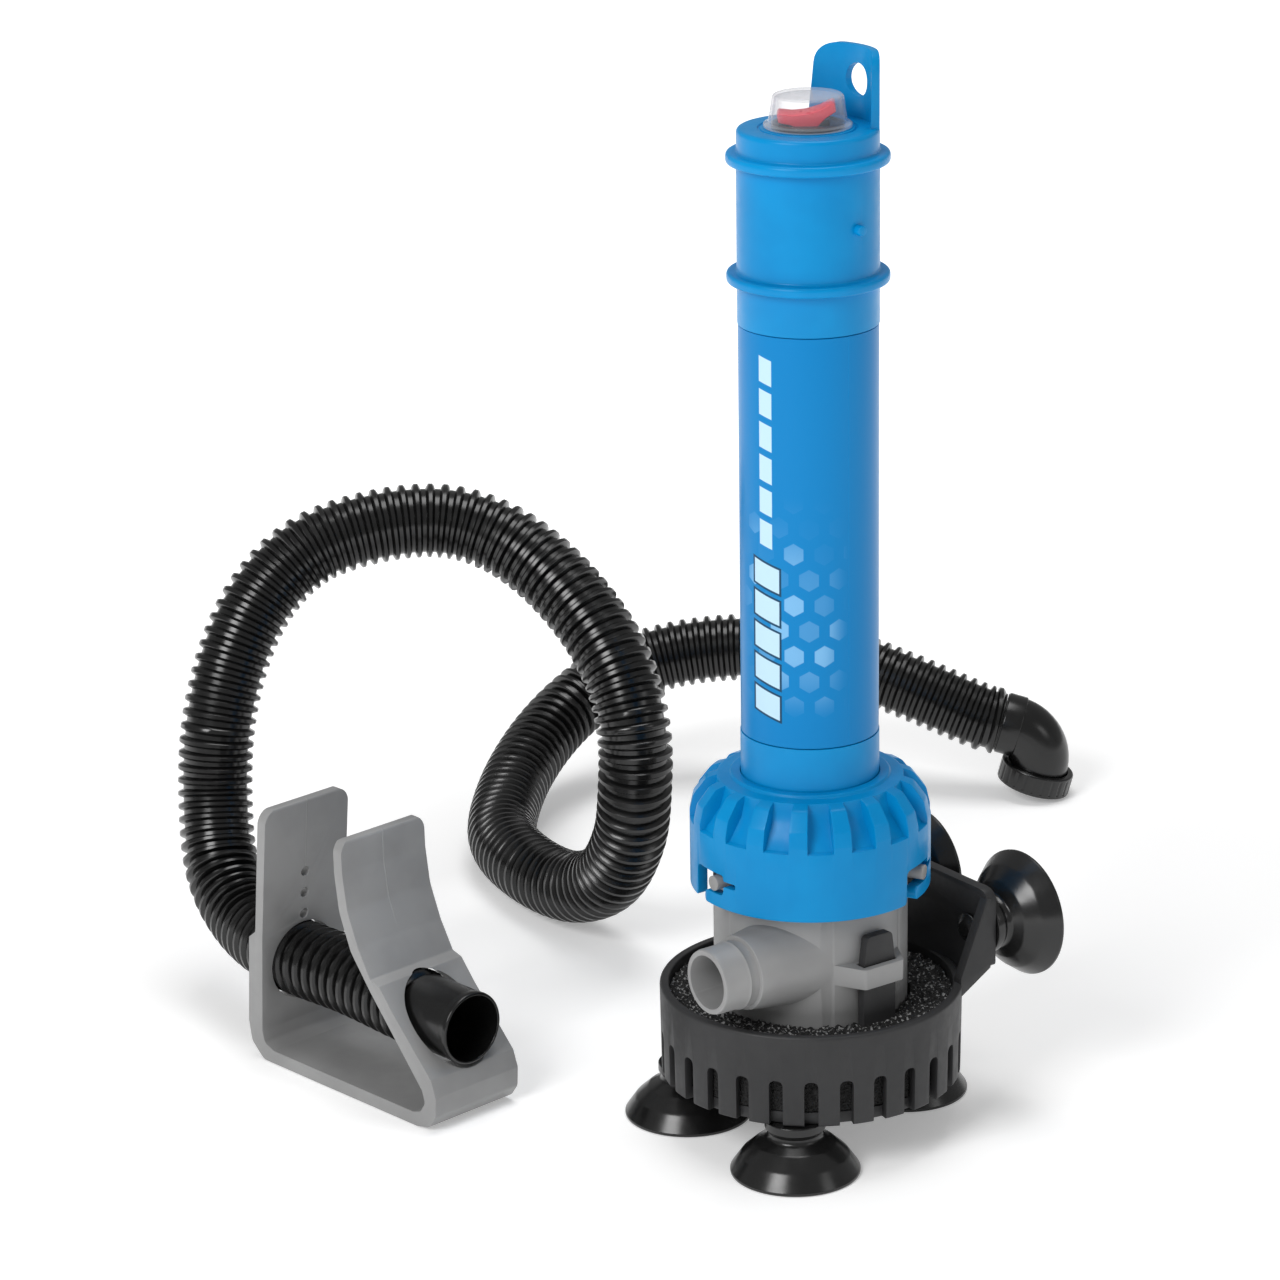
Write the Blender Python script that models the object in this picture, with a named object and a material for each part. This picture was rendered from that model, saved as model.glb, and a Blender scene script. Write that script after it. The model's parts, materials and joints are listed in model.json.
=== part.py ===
"""Portable battery bilge pump: suction-cup strainer base, lift-out pump, and discharge hose with gunwale clip.

Metres, +Z up, z = 0 on the floor. The pump's axis is vertical, the discharge nozzle points to -Y, and the
wall bracket with its two side suction cups faces +Y. The origin is under the middle of pump and base.
"""

import math

import bmesh
import bpy
from mathutils import Matrix, Vector

MM = 0.001
GAP = 0.3 * MM              # clearance between pieces that touch
AXIS_Y = -7.8 * MM          # the pump's axis, seen from the middle of the base's footprint

# Battery tube and cap
TUBE_R = 21.2 * MM
TUBE_BORE_R = 18.2 * MM
LABEL_R = 21.0 * MM
LABEL_WALL = 0.4 * MM
LABEL_Z = (130.2 * MM, 257.1 * MM)
TUBE_FOOT_Z = 101.6 * MM
TUBE_TOP_Z = 304.2 * MM
RIM_R = 24.3 * MM           # both rim flanges
RIM_T = 3.2 * MM
RIM_2_Z = 269.9 * MM
CAP_RIM_Z = 305.6 * MM
CAP_TOP_Z = 315.8 * MM
CAP_R = 21.1 * MM
TAB_TOP_Z = 337.5 * MM
TAB_HOLE_Z = 327.3 * MM
TAB_HOLE_R = 5.0 * MM
PEG_ANGLE = math.radians(5)
PEG_Z = 288.5 * MM

# Cells: three D cells
CELL_R = 16.6 * MM
CELL_H = 61.5 * MM
CELL_FOOT_Z = 115.5 * MM

# Switch under its clear boot
SWITCH_TURN = math.radians(52)
SWITCH_PIVOT_Z = 318.5 * MM
SWITCH_TILT = math.radians(11)
BEZEL_TOP_Z = 317.3 * MM
BOOT_TOP_Z = 325.6 * MM

# Locking collar
COLLAR_R = 37.0 * MM
COLLAR_BORE_R = 33.6 * MM
COLLAR_Z = (80.3 * MM, 116.5 * MM)
GRIP_POCKETS = 17
GRIP_START = math.radians(-33.2)
PIN_ANGLES = [math.radians(a) for a in (-90, 30, 150)]
PIN_Z = 87.8 * MM
PIN_R = 2.3 * MM

# Pump housing
HOUSING_R = 30.0 * MM
HOUSING_Z = (32.7 * MM, 100.0 * MM)
NOZZLE_X = 12.5 * MM
NOZZLE_Z = 62.5 * MM
NOZZLE_MOUTH_Y = -49.5 * MM
NOZZLE_BORE_R = 8.4 * MM
LOOP_Z = (56.9 * MM, 63.3 * MM)
MOTOR_R = 13.8 * MM
SHAFT_R = 1.58 * MM
IMPELLER_R = 17.0 * MM
COVER_SCREW_R = 25.5 * MM   # circle of the cover's screws
MOTOR_SCREW_R = 10.3 * MM
SCREW_SHANK_R = 1.35 * MM

# Strainer base
BASKET_R = 47.0 * MM
BASKET_BORE_R = 44.1 * MM
BASKET_Z = (17.6 * MM, 47.0 * MM)
BASE_WALL = 3.5 * MM
SLOTS = 27
SLOT_START = math.radians(52)
SLOT_W = 4.3 * MM
SLOT_TOP_Z = 32.4 * MM
FOAM_TOP_Z = 44.0 * MM
FINGER_X = (31.1 * MM, 34.1 * MM)
FINGER_HALF_W = 6.1 * MM
FINGER_TOP_Z = 72.5 * MM
BRACKET_Y = (44.0 * MM, 47.5 * MM)
BRACKET_HALF_W = 32.5 * MM
WALL_CUP_X = 24.5 * MM
WALL_CUP_Z = 61.0 * MM
CUP_R = 20.0 * MM
CUP_STAND = 17.6 * MM       # rim plane to the face it is plugged into
CUP_HOLE_R = 3.9 * MM
FLOOR_CUPS = [(-27.3 * MM, -27.6 * MM), (27.3 * MM, -27.6 * MM), (0.0, 37.7 * MM)]

# Discharge hose, its clip, elbow and nut
HOSE_R = 12.5 * MM
HOSE_POINTS = 72            # points along the tube's spline
CLIP_PLACE = Vector((-68.8, -83.7, 0.0)) * MM
CLIP_TURN = math.radians(8)
CLIP_HALF_W = 17.4 * MM
CLIP_BORE_Z = 30.0 * MM
CUFF_SPAN = (3.5 * MM, -19.0 * MM)
CUFF_R = 11.7 * MM
ELBOW_R = 11.0 * MM
ELBOW_BORE_R = 8.5 * MM
ELBOW_LEG = 18.0 * MM       # hose end to the corner
ELBOW_DROP = 20.3 * MM      # corner to the nut's mouth
ELBOW_YAW = math.radians(45.9)
ELBOW_DIP = math.radians(15)
NUT_R = 13.7 * MM

# The hose's centre line from the cuff to the elbow, millimetres from the pump's axis
HOSE_END = (-187, 237, 28)
HOSE_STRAIGHT = 9.0 * MM    # straight stretch at each end
HOSE_ROUTE = [
    (-122, -91, 31), (-154, -96, 31), (-182, -94, 33), (-202, -91, 44), (-213, -86, 65),
    (-217, -81, 90), (-220, -71, 113), (-221, -58, 130), (-218, -42, 142), (-210, -22, 148), (-199, -2, 149),
    (-186, 12, 144), (-170, 21, 134), (-152, 26, 120), (-137, 27, 105), (-128, 26, 87), (-128, 26, 67),
    (-136, 29, 46), (-153, 32, 26), (-177, 33, 15), (-206, 35, 13), (-236, 45, 13.2), (-262, 67, 18),
    (-279, 91, 26), (-286, 113, 35), (-284, 133, 44), (-273, 154, 50), (-256, 176, 52), (-236, 195, 49),
    (-215, 212, 41),
]


# ---------------------------------------------------------------- helpers

def clear_scene():
    for item in list(bpy.data.objects):
        bpy.data.objects.remove(item, do_unlink=True)


def finish_material(name, colour, roughness, metallic=0.0, alpha=1.0):
    """A Principled material with one colour, given as linear red, green, blue."""
    mat = bpy.data.materials.new(name)
    mat.use_nodes = True
    shader = mat.node_tree.nodes["Principled BSDF"]
    shader.inputs["Base Color"].default_value = (*colour, 1.0)
    shader.inputs["Roughness"].default_value = roughness
    shader.inputs["Metallic"].default_value = metallic
    shader.inputs["Alpha"].default_value = alpha
    mat.diffuse_color = (*colour, alpha)
    return mat


def empty(name, location, parent=None, rotation=(0.0, 0.0, 0.0)):
    item = bpy.data.objects.new(name, None)
    bpy.context.scene.collection.objects.link(item)
    item.parent = parent
    item.location = location
    item.rotation_euler = rotation
    return item


def make(name, bm, mat, parent, location=(0.0, 0.0, 0.0), smooth=True):
    """Turn the bmesh into a named object under its parent."""
    bmesh.ops.recalc_face_normals(bm, faces=bm.faces)
    mesh = bpy.data.meshes.new(name)
    bm.to_mesh(mesh)
    bm.free()
    if mat is not None:
        mesh.materials.append(mat)
    if smooth:
        mesh.shade_smooth()
        mesh.set_sharp_from_angle(angle=math.radians(35))
    item = bpy.data.objects.new(name, mesh)
    bpy.context.scene.collection.objects.link(item)
    item.parent = parent
    item.location = location
    return item


def copy_of(source, name, parent, location, rotation=(0.0, 0.0, 0.0)):
    """Another object on the same mesh."""
    item = bpy.data.objects.new(name, source.data)
    bpy.context.scene.collection.objects.link(item)
    item.parent = parent
    item.location = location
    item.rotation_euler = rotation
    return item


def combine(target, name, bm, operation="DIFFERENCE"):
    """Cut the bmesh's shapes from the target, or add them to it."""
    tool = make(name, bm, None, target.parent, target.location, smooth=False)
    tool.hide_render = True
    tool.display_type = "WIRE"
    step = target.modifiers.new(name, "BOOLEAN")
    step.operation = operation
    step.object = tool
    return tool


def add_turned(bm, profile, steps, matrix=None):
    """Turn a profile of (radius, height) about Z. One that starts and ends on the axis closes there."""
    on_axis = profile[0][0] == 0.0 and profile[-1][0] == 0.0
    verts = [bm.verts.new((r, 0.0, z)) for r, z in profile]
    ends = list(zip(verts, verts[1:])) + ([] if on_axis else [(verts[-1], verts[0])])
    edges = [bm.edges.new(pair) for pair in ends]
    before = set(bm.verts) - set(verts)
    bmesh.ops.spin(bm, geom=verts + edges, cent=(0, 0, 0), axis=(0, 0, 1), angle=math.tau, steps=steps,
                   use_merge=True)
    new = [v for v in bm.verts if v not in before]
    bmesh.ops.remove_doubles(bm, verts=new, dist=1e-6)
    if matrix is not None:
        new = [v for v in bm.verts if v not in before]
        bmesh.ops.transform(bm, matrix=matrix, verts=new)


def add_prism(bm, outline, low, high, matrix=None):
    """A prism on an outline in X and Y, from height low to high."""
    base = bm.faces.new([bm.verts.new((x, y, low)) for x, y in outline])
    made = bmesh.ops.extrude_face_region(bm, geom=[base])
    top = [v for v in made["geom"] if isinstance(v, bmesh.types.BMVert)]
    bmesh.ops.translate(bm, verts=top, vec=(0.0, 0.0, high - low))
    if matrix is not None:
        bmesh.ops.transform(bm, matrix=matrix, verts=list(base.verts) + top)


def add_box(bm, low, high, matrix=None):
    outline = [(low[0], low[1]), (high[0], low[1]), (high[0], high[1]), (low[0], high[1])]
    add_prism(bm, outline, low[2], high[2], matrix)


def add_rod(bm, start, end, radius, steps):
    """A round rod between two points."""
    start, end = Vector(start), Vector(end)
    turn = (end - start).to_track_quat("Z", "Y").to_matrix().to_4x4()
    place = Matrix.Translation((start + end) / 2) @ turn
    bmesh.ops.create_cone(bm, cap_ends=True, segments=steps, radius1=radius, radius2=radius,
                          depth=(end - start).length, matrix=place)


def add_sector(bm, radii, angles, heights, steps):
    """A piece of a ring wall between two angles."""
    turns = [angles[0] + (angles[1] - angles[0]) * i / steps for i in range(steps + 1)]
    outer = [(radii[1] * math.cos(a), radii[1] * math.sin(a)) for a in turns]
    inner = [(radii[0] * math.cos(a), radii[0] * math.sin(a)) for a in reversed(turns)]
    add_prism(bm, outer + inner, heights[0], heights[1])


def add_pipe(bm, sections, steps):
    """A walled pipe through (centre, direction, outer radius, bore radius) sections."""
    rings = []
    for bore in (False, True):
        for centre, direction, outer_r, bore_r in (reversed(sections) if bore else sections):
            turn = direction.to_track_quat("Z", "Y").to_matrix()
            radius = bore_r if bore else outer_r
            ring = []
            for i in range(steps):
                a = math.tau * i / steps
                ring.append(bm.verts.new(centre + turn @ Vector((radius * math.cos(a), radius * math.sin(a), 0))))
            rings.append(ring)
    for ring, following in zip(rings, rings[1:] + rings[:1]):
        for i in range(steps):
            j = (i + 1) % steps
            bm.faces.new((ring[i], ring[j], following[j], following[i]))


def at(*place):
    """A place given in millimetres."""
    return tuple(c * MM for c in place)


def mm(points):
    return [at(*p) for p in points]


def along_y(x, z):
    """Carry a shape from its own +Z to the object's -Y, through (x, z)."""
    return Matrix.Translation((x, 0.0, z)) @ Matrix.Rotation(math.pi / 2, 4, "X")


def upright(half_turn=0.0):
    """Carry an outline in X and Y to X and Z, extruded along -Y."""
    return Matrix.Rotation(half_turn, 4, "Z") @ Matrix.Rotation(math.pi / 2, 4, "X")


# ---------------------------------------------------------------- strainer base

def build_basket(mats, parent):
    """Slotted basket with its floor, two latch fingers and the wall bracket, moulded in one."""
    low, high = BASKET_Z
    floor = low + BASE_WALL
    edge = 0.6 * MM
    bm = bmesh.new()
    add_turned(bm, [(0.0, low), (BASKET_R - 0.4 * MM, low), (BASKET_R, high - edge), (BASKET_R - edge, high),
                    (BASKET_BORE_R + edge, high), (BASKET_BORE_R, high - edge), (BASKET_BORE_R, floor),
                    (0.0, floor)], 2 * SLOTS)
    basket = make("strainer_basket", bm, mats["base"], parent)

    bm = bmesh.new()
    plate = mm([(-32.5, 50.3), (-20, 43), (20, 43), (32.5, 50.3), (32.5, 71), (31.3, 73.8), (28.5, 75),
                (-28.5, 75), (-31.3, 73.8), (-32.5, 71)])
    add_prism(bm, plate, -BRACKET_Y[1], -BRACKET_Y[0], upright())
    combine(basket, "bracket_plate_shape", bm, "UNION")

    bm = bmesh.new()
    gusset = mm([(33.6, 42.6), (45.5, 49.6), (45.5, 72), (44.3, 72), (33.6, 48.4)])
    side = Matrix(((0, 0, 1, 0), (1, 0, 0, 0), (0, 1, 0, 0), (0, 0, 0, 1)))
    for inner in (-BRACKET_HALF_W, BRACKET_HALF_W - 3.3 * MM):
        add_prism(bm, gusset, inner, inner + 3.3 * MM, side)
    for sign in (-1, 1):
        xs = sorted((sign * FINGER_X[0], sign * FINGER_X[1]))
        finger = [(-FINGER_HALF_W, floor - MM), (FINGER_HALF_W, floor - MM), (FINGER_HALF_W, 64 * MM),
                  (4.7 * MM, FINGER_TOP_Z), (-4.7 * MM, FINGER_TOP_Z), (-FINGER_HALF_W, 64 * MM)]
        add_prism(bm, finger, xs[0], xs[1], side)
    combine(basket, "gusset_and_finger_shapes", bm, "UNION")

    bm = bmesh.new()
    cap_steps = 3
    for i in range(SLOTS):
        turn = Matrix.Rotation(SLOT_START + math.tau * i / SLOTS, 4, "Z")
        arch = [(SLOT_W / 2 * math.cos(math.pi * k / cap_steps),
                 SLOT_TOP_Z - SLOT_W / 2 + SLOT_W / 2 * math.sin(math.pi * k / cap_steps))
                for k in range(cap_steps + 1)]
        outline = [(-SLOT_W / 2, low - MM), (SLOT_W / 2, low - MM)] + arch
        add_prism(bm, outline, BASKET_BORE_R - 0.4 * MM, BASKET_R + MM, turn @ upright())
    combine(basket, "slot_cutters", bm)

    bm = bmesh.new()
    for x, y in FLOOR_CUPS:
        add_rod(bm, (x, y, low - MM), (x, y, floor + MM), CUP_HOLE_R, 12)
    for x in (-WALL_CUP_X, WALL_CUP_X):
        add_rod(bm, (x, BRACKET_Y[0] - MM, WALL_CUP_Z), (x, BRACKET_Y[1] + MM, WALL_CUP_Z), CUP_HOLE_R, 12)
    combine(basket, "cup_hole_cutters", bm)


def build_cups(mats, parent):
    """Five suction cups on one mesh: bell, neck, and the button plugged through its hole."""
    plug_r = CUP_HOLE_R - 0.4 * MM
    button = CUP_STAND + BASE_WALL + GAP
    bm = bmesh.new()
    add_turned(bm, [(0.0, 6.6 * MM), (7.5 * MM, 6.0 * MM), (13.5 * MM, 3.8 * MM), (19.0 * MM, 0.0),
                    (CUP_R, 0.0), (CUP_R, 0.9 * MM), (16.6 * MM, 5.8 * MM), (12.4 * MM, 9.6 * MM),
                    (8.6 * MM, 11.6 * MM), (8.6 * MM, 14.0 * MM), (9.4 * MM, 14.6 * MM),
                    (9.4 * MM, CUP_STAND - GAP), (plug_r, CUP_STAND - GAP), (plug_r, button),
                    (4.7 * MM, button), (4.7 * MM, button + 1.2 * MM), (0.0, button + 2.6 * MM)], 16)
    first = make("floor_cup_1", bm, mats["cup"], parent, (*FLOOR_CUPS[0], 0.0))
    for number, (x, y) in enumerate(FLOOR_CUPS[1:], start=2):
        copy_of(first, f"floor_cup_{number}", parent, (x, y, 0.0))
    rim_y = BRACKET_Y[1] + CUP_STAND
    for number, x in enumerate((-WALL_CUP_X, WALL_CUP_X), start=1):
        copy_of(first, f"wall_cup_{number}", parent, (x, rim_y, WALL_CUP_Z), (math.pi / 2, 0.0, 0.0))


def build_foam(mats, parent):
    """Cup-shaped foam filter round the pump's foot."""
    low = BASKET_Z[0] + BASE_WALL + GAP
    outer, inner = BASKET_BORE_R - 0.4 * MM, HOUSING_R + MM
    bm = bmesh.new()
    add_turned(bm, [(0.0, low), (outer, low), (outer, FOAM_TOP_Z), (inner, FOAM_TOP_Z), (inner, 27.7 * MM),
                    (0.0, 27.7 * MM)], 28)
    foam = make("foam_filter", bm, mats["foam"], parent)
    bm = bmesh.new()
    for sign in (-1, 1):
        xs = sorted((sign * (HOUSING_R - MM), sign * (FINGER_X[1] + 0.5 * MM)))
        add_box(bm, (xs[0], -FINGER_HALF_W - 0.6 * MM, low - MM), (xs[1], FINGER_HALF_W + 0.6 * MM, 46 * MM))
    for x, y in FLOOR_CUPS:
        add_rod(bm, (x, y, low - MM), (x, y, 24.4 * MM), 5.8 * MM, 10)
    combine(foam, "foam_pocket_cutters", bm)


# ---------------------------------------------------------------- pump

def build_housing(mats, parent):
    """Grey housing: volute with tangential nozzle, latch loops and three bayonet pins."""
    low, high = HOUSING_Z
    bm = bmesh.new()
    add_turned(bm, [(0.0, low), (HOUSING_R, low), (HOUSING_R, high), (0.0, high)], 40)
    housing = make("pump_housing", bm, mats["grey"], parent)

    length = -NOZZLE_MOUTH_Y
    bm = bmesh.new()
    add_turned(bm, [(0.0, 6 * MM), (15.2 * MM, 6 * MM), (13.4 * MM, 24 * MM), (11.6 * MM, 35.8 * MM),
                    (11.6 * MM, 37 * MM), (10.4 * MM, 37 * MM), (10.4 * MM, 40.4 * MM), (10.7 * MM, 41 * MM),
                    (10.2 * MM, 41.6 * MM), (10.2 * MM, length), (0.0, length)],
               24, along_y(NOZZLE_X, NOZZLE_Z))
    combine(housing, "nozzle_shape", bm, "UNION")

    bm = bmesh.new()
    for sign in (-1, 1):
        outline = mm([(27, -11), (36.5, -7), (36.5, 7), (27, 11)])
        add_prism(bm, [(sign * x, y) for x, y in outline], *LOOP_Z)
    for angle in PIN_ANGLES:
        way = Vector((math.cos(angle), math.sin(angle), 0.0))
        foot = Vector((0, 0, PIN_Z))
        add_rod(bm, foot + way * 28.5 * MM, foot + way * (COLLAR_R + 0.2 * MM), PIN_R, 12)
    combine(housing, "loop_and_pin_shapes", bm, "UNION")

    bm = bmesh.new()
    add_turned(bm, [(0.0, low - MM), (21 * MM, low - MM), (21 * MM, 48 * MM), (26.5 * MM, 48 * MM),
                    (26.5 * MM, 71.5 * MM), (7.3 * MM, 71.5 * MM), (7.3 * MM, 74.5 * MM),
                    (27.4 * MM, 74.5 * MM), (27.4 * MM, high + MM), (0.0, high + MM)], 24)
    combine(housing, "chamber_cutter", bm)

    bm = bmesh.new()
    add_rod(bm, (NOZZLE_X, NOZZLE_MOUTH_Y - MM, NOZZLE_Z), (NOZZLE_X, -8 * MM, NOZZLE_Z), NOZZLE_BORE_R, 20)
    for sign in (-1, 1):
        xs = sorted((sign * (HOUSING_R + 0.5 * MM), sign * (FINGER_X[1] + 0.4 * MM)))
        add_box(bm, (xs[0], -FINGER_HALF_W - 0.4 * MM, LOOP_Z[0] - MM),
                (xs[1], FINGER_HALF_W + 0.4 * MM, LOOP_Z[1] + MM))
    for x, y in screw_places(3, COVER_SCREW_R):
        add_rod(bm, (x, y, low - MM), (x, y, 43 * MM), SCREW_SHANK_R + GAP, 8)
    for x, y in screw_places(2, MOTOR_SCREW_R):
        add_rod(bm, (x, y, 71 * MM), (x, y, 75 * MM), SCREW_SHANK_R + GAP, 8)
    combine(housing, "bore_cutters", bm)


def screw_places(count, radius):
    return [(radius * math.cos(math.tau * i / count), radius * math.sin(math.tau * i / count))
            for i in range(count)]


def build_pump_inside(mats, parent, spin):
    """Intake cover, screws, seals, motor, shaft and impeller."""
    cover_low = 28.2 * MM
    top = HOUSING_Z[0] - GAP
    bm = bmesh.new()
    add_turned(bm, [(8 * MM, cover_low), (29.7 * MM, cover_low), (29.7 * MM, top), (9.8 * MM, top),
                    (9.8 * MM, 49 * MM), (8 * MM, 49 * MM)], 24)
    cover = make("intake_cover", bm, mats["grey"], parent)
    bm = bmesh.new()
    for x, y in screw_places(3, COVER_SCREW_R):
        add_turned(bm, [(0.0, cover_low - MM), (3.2 * MM, cover_low - MM), (3.2 * MM, 30.5 * MM),
                        (SCREW_SHANK_R + GAP, 30.5 * MM), (SCREW_SHANK_R + GAP, top + MM), (0.0, top + MM)],
                   8, Matrix.Translation((x, y, 0)))
    combine(cover, "cover_screw_cutters", bm)

    first = None
    for number, (x, y) in enumerate(screw_places(3, COVER_SCREW_R), start=1):
        if first is None:
            bm = bmesh.new()
            add_turned(bm, [(0.0, 0.0), (2.8 * MM, 0.0), (2.8 * MM, 1.7 * MM), (SCREW_SHANK_R, 1.7 * MM),
                            (SCREW_SHANK_R, 13 * MM), (0.0, 13.6 * MM)], 8)
            first = make("cover_screw_1", bm, mats["steel"], parent, (x, y, 28.5 * MM))
        else:
            copy_of(first, f"cover_screw_{number}", parent, (x, y, 28.5 * MM))

    bm = bmesh.new()
    add_turned(bm, [(SHAFT_R + GAP, 71.8 * MM), (7.0 * MM, 71.8 * MM), (7.0 * MM, 74.3 * MM),
                    (SHAFT_R + GAP, 74.3 * MM)], 12)
    make("shaft_seal", bm, mats["seal"], parent)

    bm = bmesh.new()
    add_turned(bm, [(27.8 * MM, 100.3 * MM), (29.8 * MM, 100.3 * MM), (29.8 * MM, 101.3 * MM),
                    (27.8 * MM, 101.3 * MM)], 24)
    make("housing_seal", bm, mats["seal"], parent)

    bm = bmesh.new()
    add_turned(bm, [(0.0, 78.5 * MM), (1.9 * MM, 78.5 * MM), (1.9 * MM, 74.8 * MM), (MOTOR_R, 74.8 * MM),
                    (MOTOR_R, 103.7 * MM), (0.0, 103.7 * MM)], 20)
    motor = make("motor_can", bm, mats["steel"], parent)
    bm = bmesh.new()
    for x, y in screw_places(2, MOTOR_SCREW_R):
        add_rod(bm, (x, y, 74 * MM), (x, y, 79 * MM), SCREW_SHANK_R + GAP, 8)
    combine(motor, "motor_screw_cutters", bm)
    bm = bmesh.new()
    add_turned(bm, [(0.0, 104.0 * MM), (MOTOR_R, 104.0 * MM), (MOTOR_R - 1.5 * MM, 106.3 * MM),
                    (0.0, 106.3 * MM)], 20)
    make("motor_end_cap", bm, mats["dark"], parent)
    first = None
    for number, (x, y) in enumerate(screw_places(2, MOTOR_SCREW_R), start=1):
        if first is None:
            bm = bmesh.new()
            add_turned(bm, [(0.0, 0.0), (2.5 * MM, 0.0), (2.5 * MM, 1.3 * MM), (SCREW_SHANK_R, 1.3 * MM),
                            (SCREW_SHANK_R, 8 * MM), (0.0, 8.4 * MM)], 8)
            first = make("motor_screw_1", bm, mats["steel"], parent, (x, y, 69.9 * MM))
        else:
            copy_of(first, f"motor_screw_{number}", parent, (x, y, 69.9 * MM))

    bm = bmesh.new()
    add_turned(bm, [(0.0, 56 * MM), (SHAFT_R, 56 * MM), (SHAFT_R, 78.2 * MM), (0.0, 78.2 * MM)], 12)
    make("motor_shaft", bm, mats["steel"], spin)
    bm = bmesh.new()
    add_turned(bm, [(0.0, 51 * MM), (3 * MM, 51 * MM), (5 * MM, 53 * MM), (5 * MM, 64.5 * MM),
                    (IMPELLER_R, 64.5 * MM), (IMPELLER_R, 66 * MM), (SHAFT_R + GAP, 66 * MM),
                    (SHAFT_R + GAP, 55.7 * MM), (0.0, 55.7 * MM)], 16)
    impeller = make("impeller", bm, mats["dark"], spin)
    bm = bmesh.new()
    vanes = 5
    for i in range(vanes):
        turn = Matrix.Rotation(math.tau * i / vanes, 4, "Z")
        add_box(bm, (4.4 * MM, -0.8 * MM, 54 * MM), (IMPELLER_R - 0.4 * MM, 0.8 * MM, 65 * MM), turn)
    combine(impeller, "vane_shapes", bm, "UNION")


def build_tube(mats, parent):
    """Battery tube with its rim, lock peg and clamped foot, and the label wrapped round it."""
    recess = LABEL_R - LABEL_WALL - GAP
    low, high = LABEL_Z[0] - GAP, LABEL_Z[1] + GAP
    soft = 0.8 * MM
    rebate = 19.7 * MM
    bm = bmesh.new()
    add_turned(bm, [
        (30 * MM, TUBE_FOOT_Z), (30 * MM, TUBE_FOOT_Z + 2.8 * MM), (TUBE_R, TUBE_FOOT_Z + 2.8 * MM),
        (TUBE_R, low), (recess, low), (recess, high), (TUBE_R, high), (TUBE_R, RIM_2_Z),
        (RIM_R - soft, RIM_2_Z), (RIM_R, RIM_2_Z + soft), (RIM_R, RIM_2_Z + RIM_T - soft),
        (RIM_R - soft, RIM_2_Z + RIM_T), (TUBE_R, RIM_2_Z + RIM_T), (TUBE_R, TUBE_TOP_Z),
        (rebate, TUBE_TOP_Z), (rebate, 297.7 * MM), (TUBE_BORE_R, 297.7 * MM), (TUBE_BORE_R, 109.0 * MM),
        (6 * MM, 109.0 * MM), (6 * MM, 107.0 * MM), (TUBE_BORE_R, 107.0 * MM), (TUBE_BORE_R, TUBE_FOOT_Z),
    ], 32)
    tube = make("battery_tube", bm, mats["blue"], parent)
    way = Vector((math.cos(PEG_ANGLE), math.sin(PEG_ANGLE), 0))
    bm = bmesh.new()
    add_rod(bm, way * 20 * MM + Vector((0, 0, PEG_Z)), way * 23.4 * MM + Vector((0, 0, PEG_Z)), 1.6 * MM, 8)
    combine(tube, "lock_peg_shape", bm, "UNION")

    bm = bmesh.new()
    add_turned(bm, [(LABEL_R - LABEL_WALL, LABEL_Z[0]), (LABEL_R, LABEL_Z[0]), (LABEL_R, LABEL_Z[1]),
                    (LABEL_R - LABEL_WALL, LABEL_Z[1])], 32)
    make("label_wrap", bm, mats["label"], parent)


def build_cap(mats, parent):
    """Top cap with its rim and the curved hang tab, and the gasket under it."""
    soft = 0.8 * MM
    bore = 18.0 * MM
    bm = bmesh.new()
    add_turned(bm, [
        (19.4 * MM, 298 * MM), (19.4 * MM, CAP_RIM_Z), (RIM_R - soft, CAP_RIM_Z), (RIM_R, CAP_RIM_Z + soft),
        (RIM_R, CAP_RIM_Z + RIM_T - soft), (RIM_R - soft, CAP_RIM_Z + RIM_T), (CAP_R, CAP_RIM_Z + RIM_T),
        (CAP_R, CAP_TOP_Z - 1.2 * MM), (CAP_R - 1.2 * MM, CAP_TOP_Z), (9.9 * MM, CAP_TOP_Z),
        (9.9 * MM, 313 * MM), (bore, 313 * MM), (bore, 298 * MM),
    ], 32)
    cap = make("top_cap", bm, mats["blue"], parent)

    bm = bmesh.new()
    foot = CAP_TOP_Z - 1.8 * MM
    add_turned(bm, [(18.8 * MM, foot), (CAP_R - 0.1 * MM, foot), (CAP_R - 0.1 * MM, TAB_TOP_Z),
                    (18.8 * MM, TAB_TOP_Z)], 32)
    tab = combine(cap, "hang_tab_shape", bm, "UNION")
    corner = 5.0 * MM
    arc = [(8.4 * MM + corner * math.cos(math.radians(a)), TAB_TOP_Z - corner + corner * math.sin(math.radians(a)))
           for a in (10, 30, 50, 70, 90)]
    outline = [(-14.9 * MM, foot - MM), (14.9 * MM, foot - MM)] + arc + [(-x, z) for x, z in reversed(arc)]
    bm = bmesh.new()
    add_prism(bm, outline, -30 * MM, -8 * MM, upright())
    combine(tab, "hang_tab_outline", bm, "INTERSECT")
    bm = bmesh.new()
    add_rod(bm, (0, 10 * MM, TAB_HOLE_Z), (0, 30 * MM, TAB_HOLE_Z), TAB_HOLE_R, 16)
    combine(tab, "hang_hole_cutter", bm)

    bm = bmesh.new()
    add_turned(bm, [(19.8 * MM, 304.5 * MM), (21.0 * MM, 304.5 * MM), (21.0 * MM, 305.3 * MM),
                    (19.8 * MM, 305.3 * MM)], 32)
    make("cap_gasket", bm, mats["seal"], parent)


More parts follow.
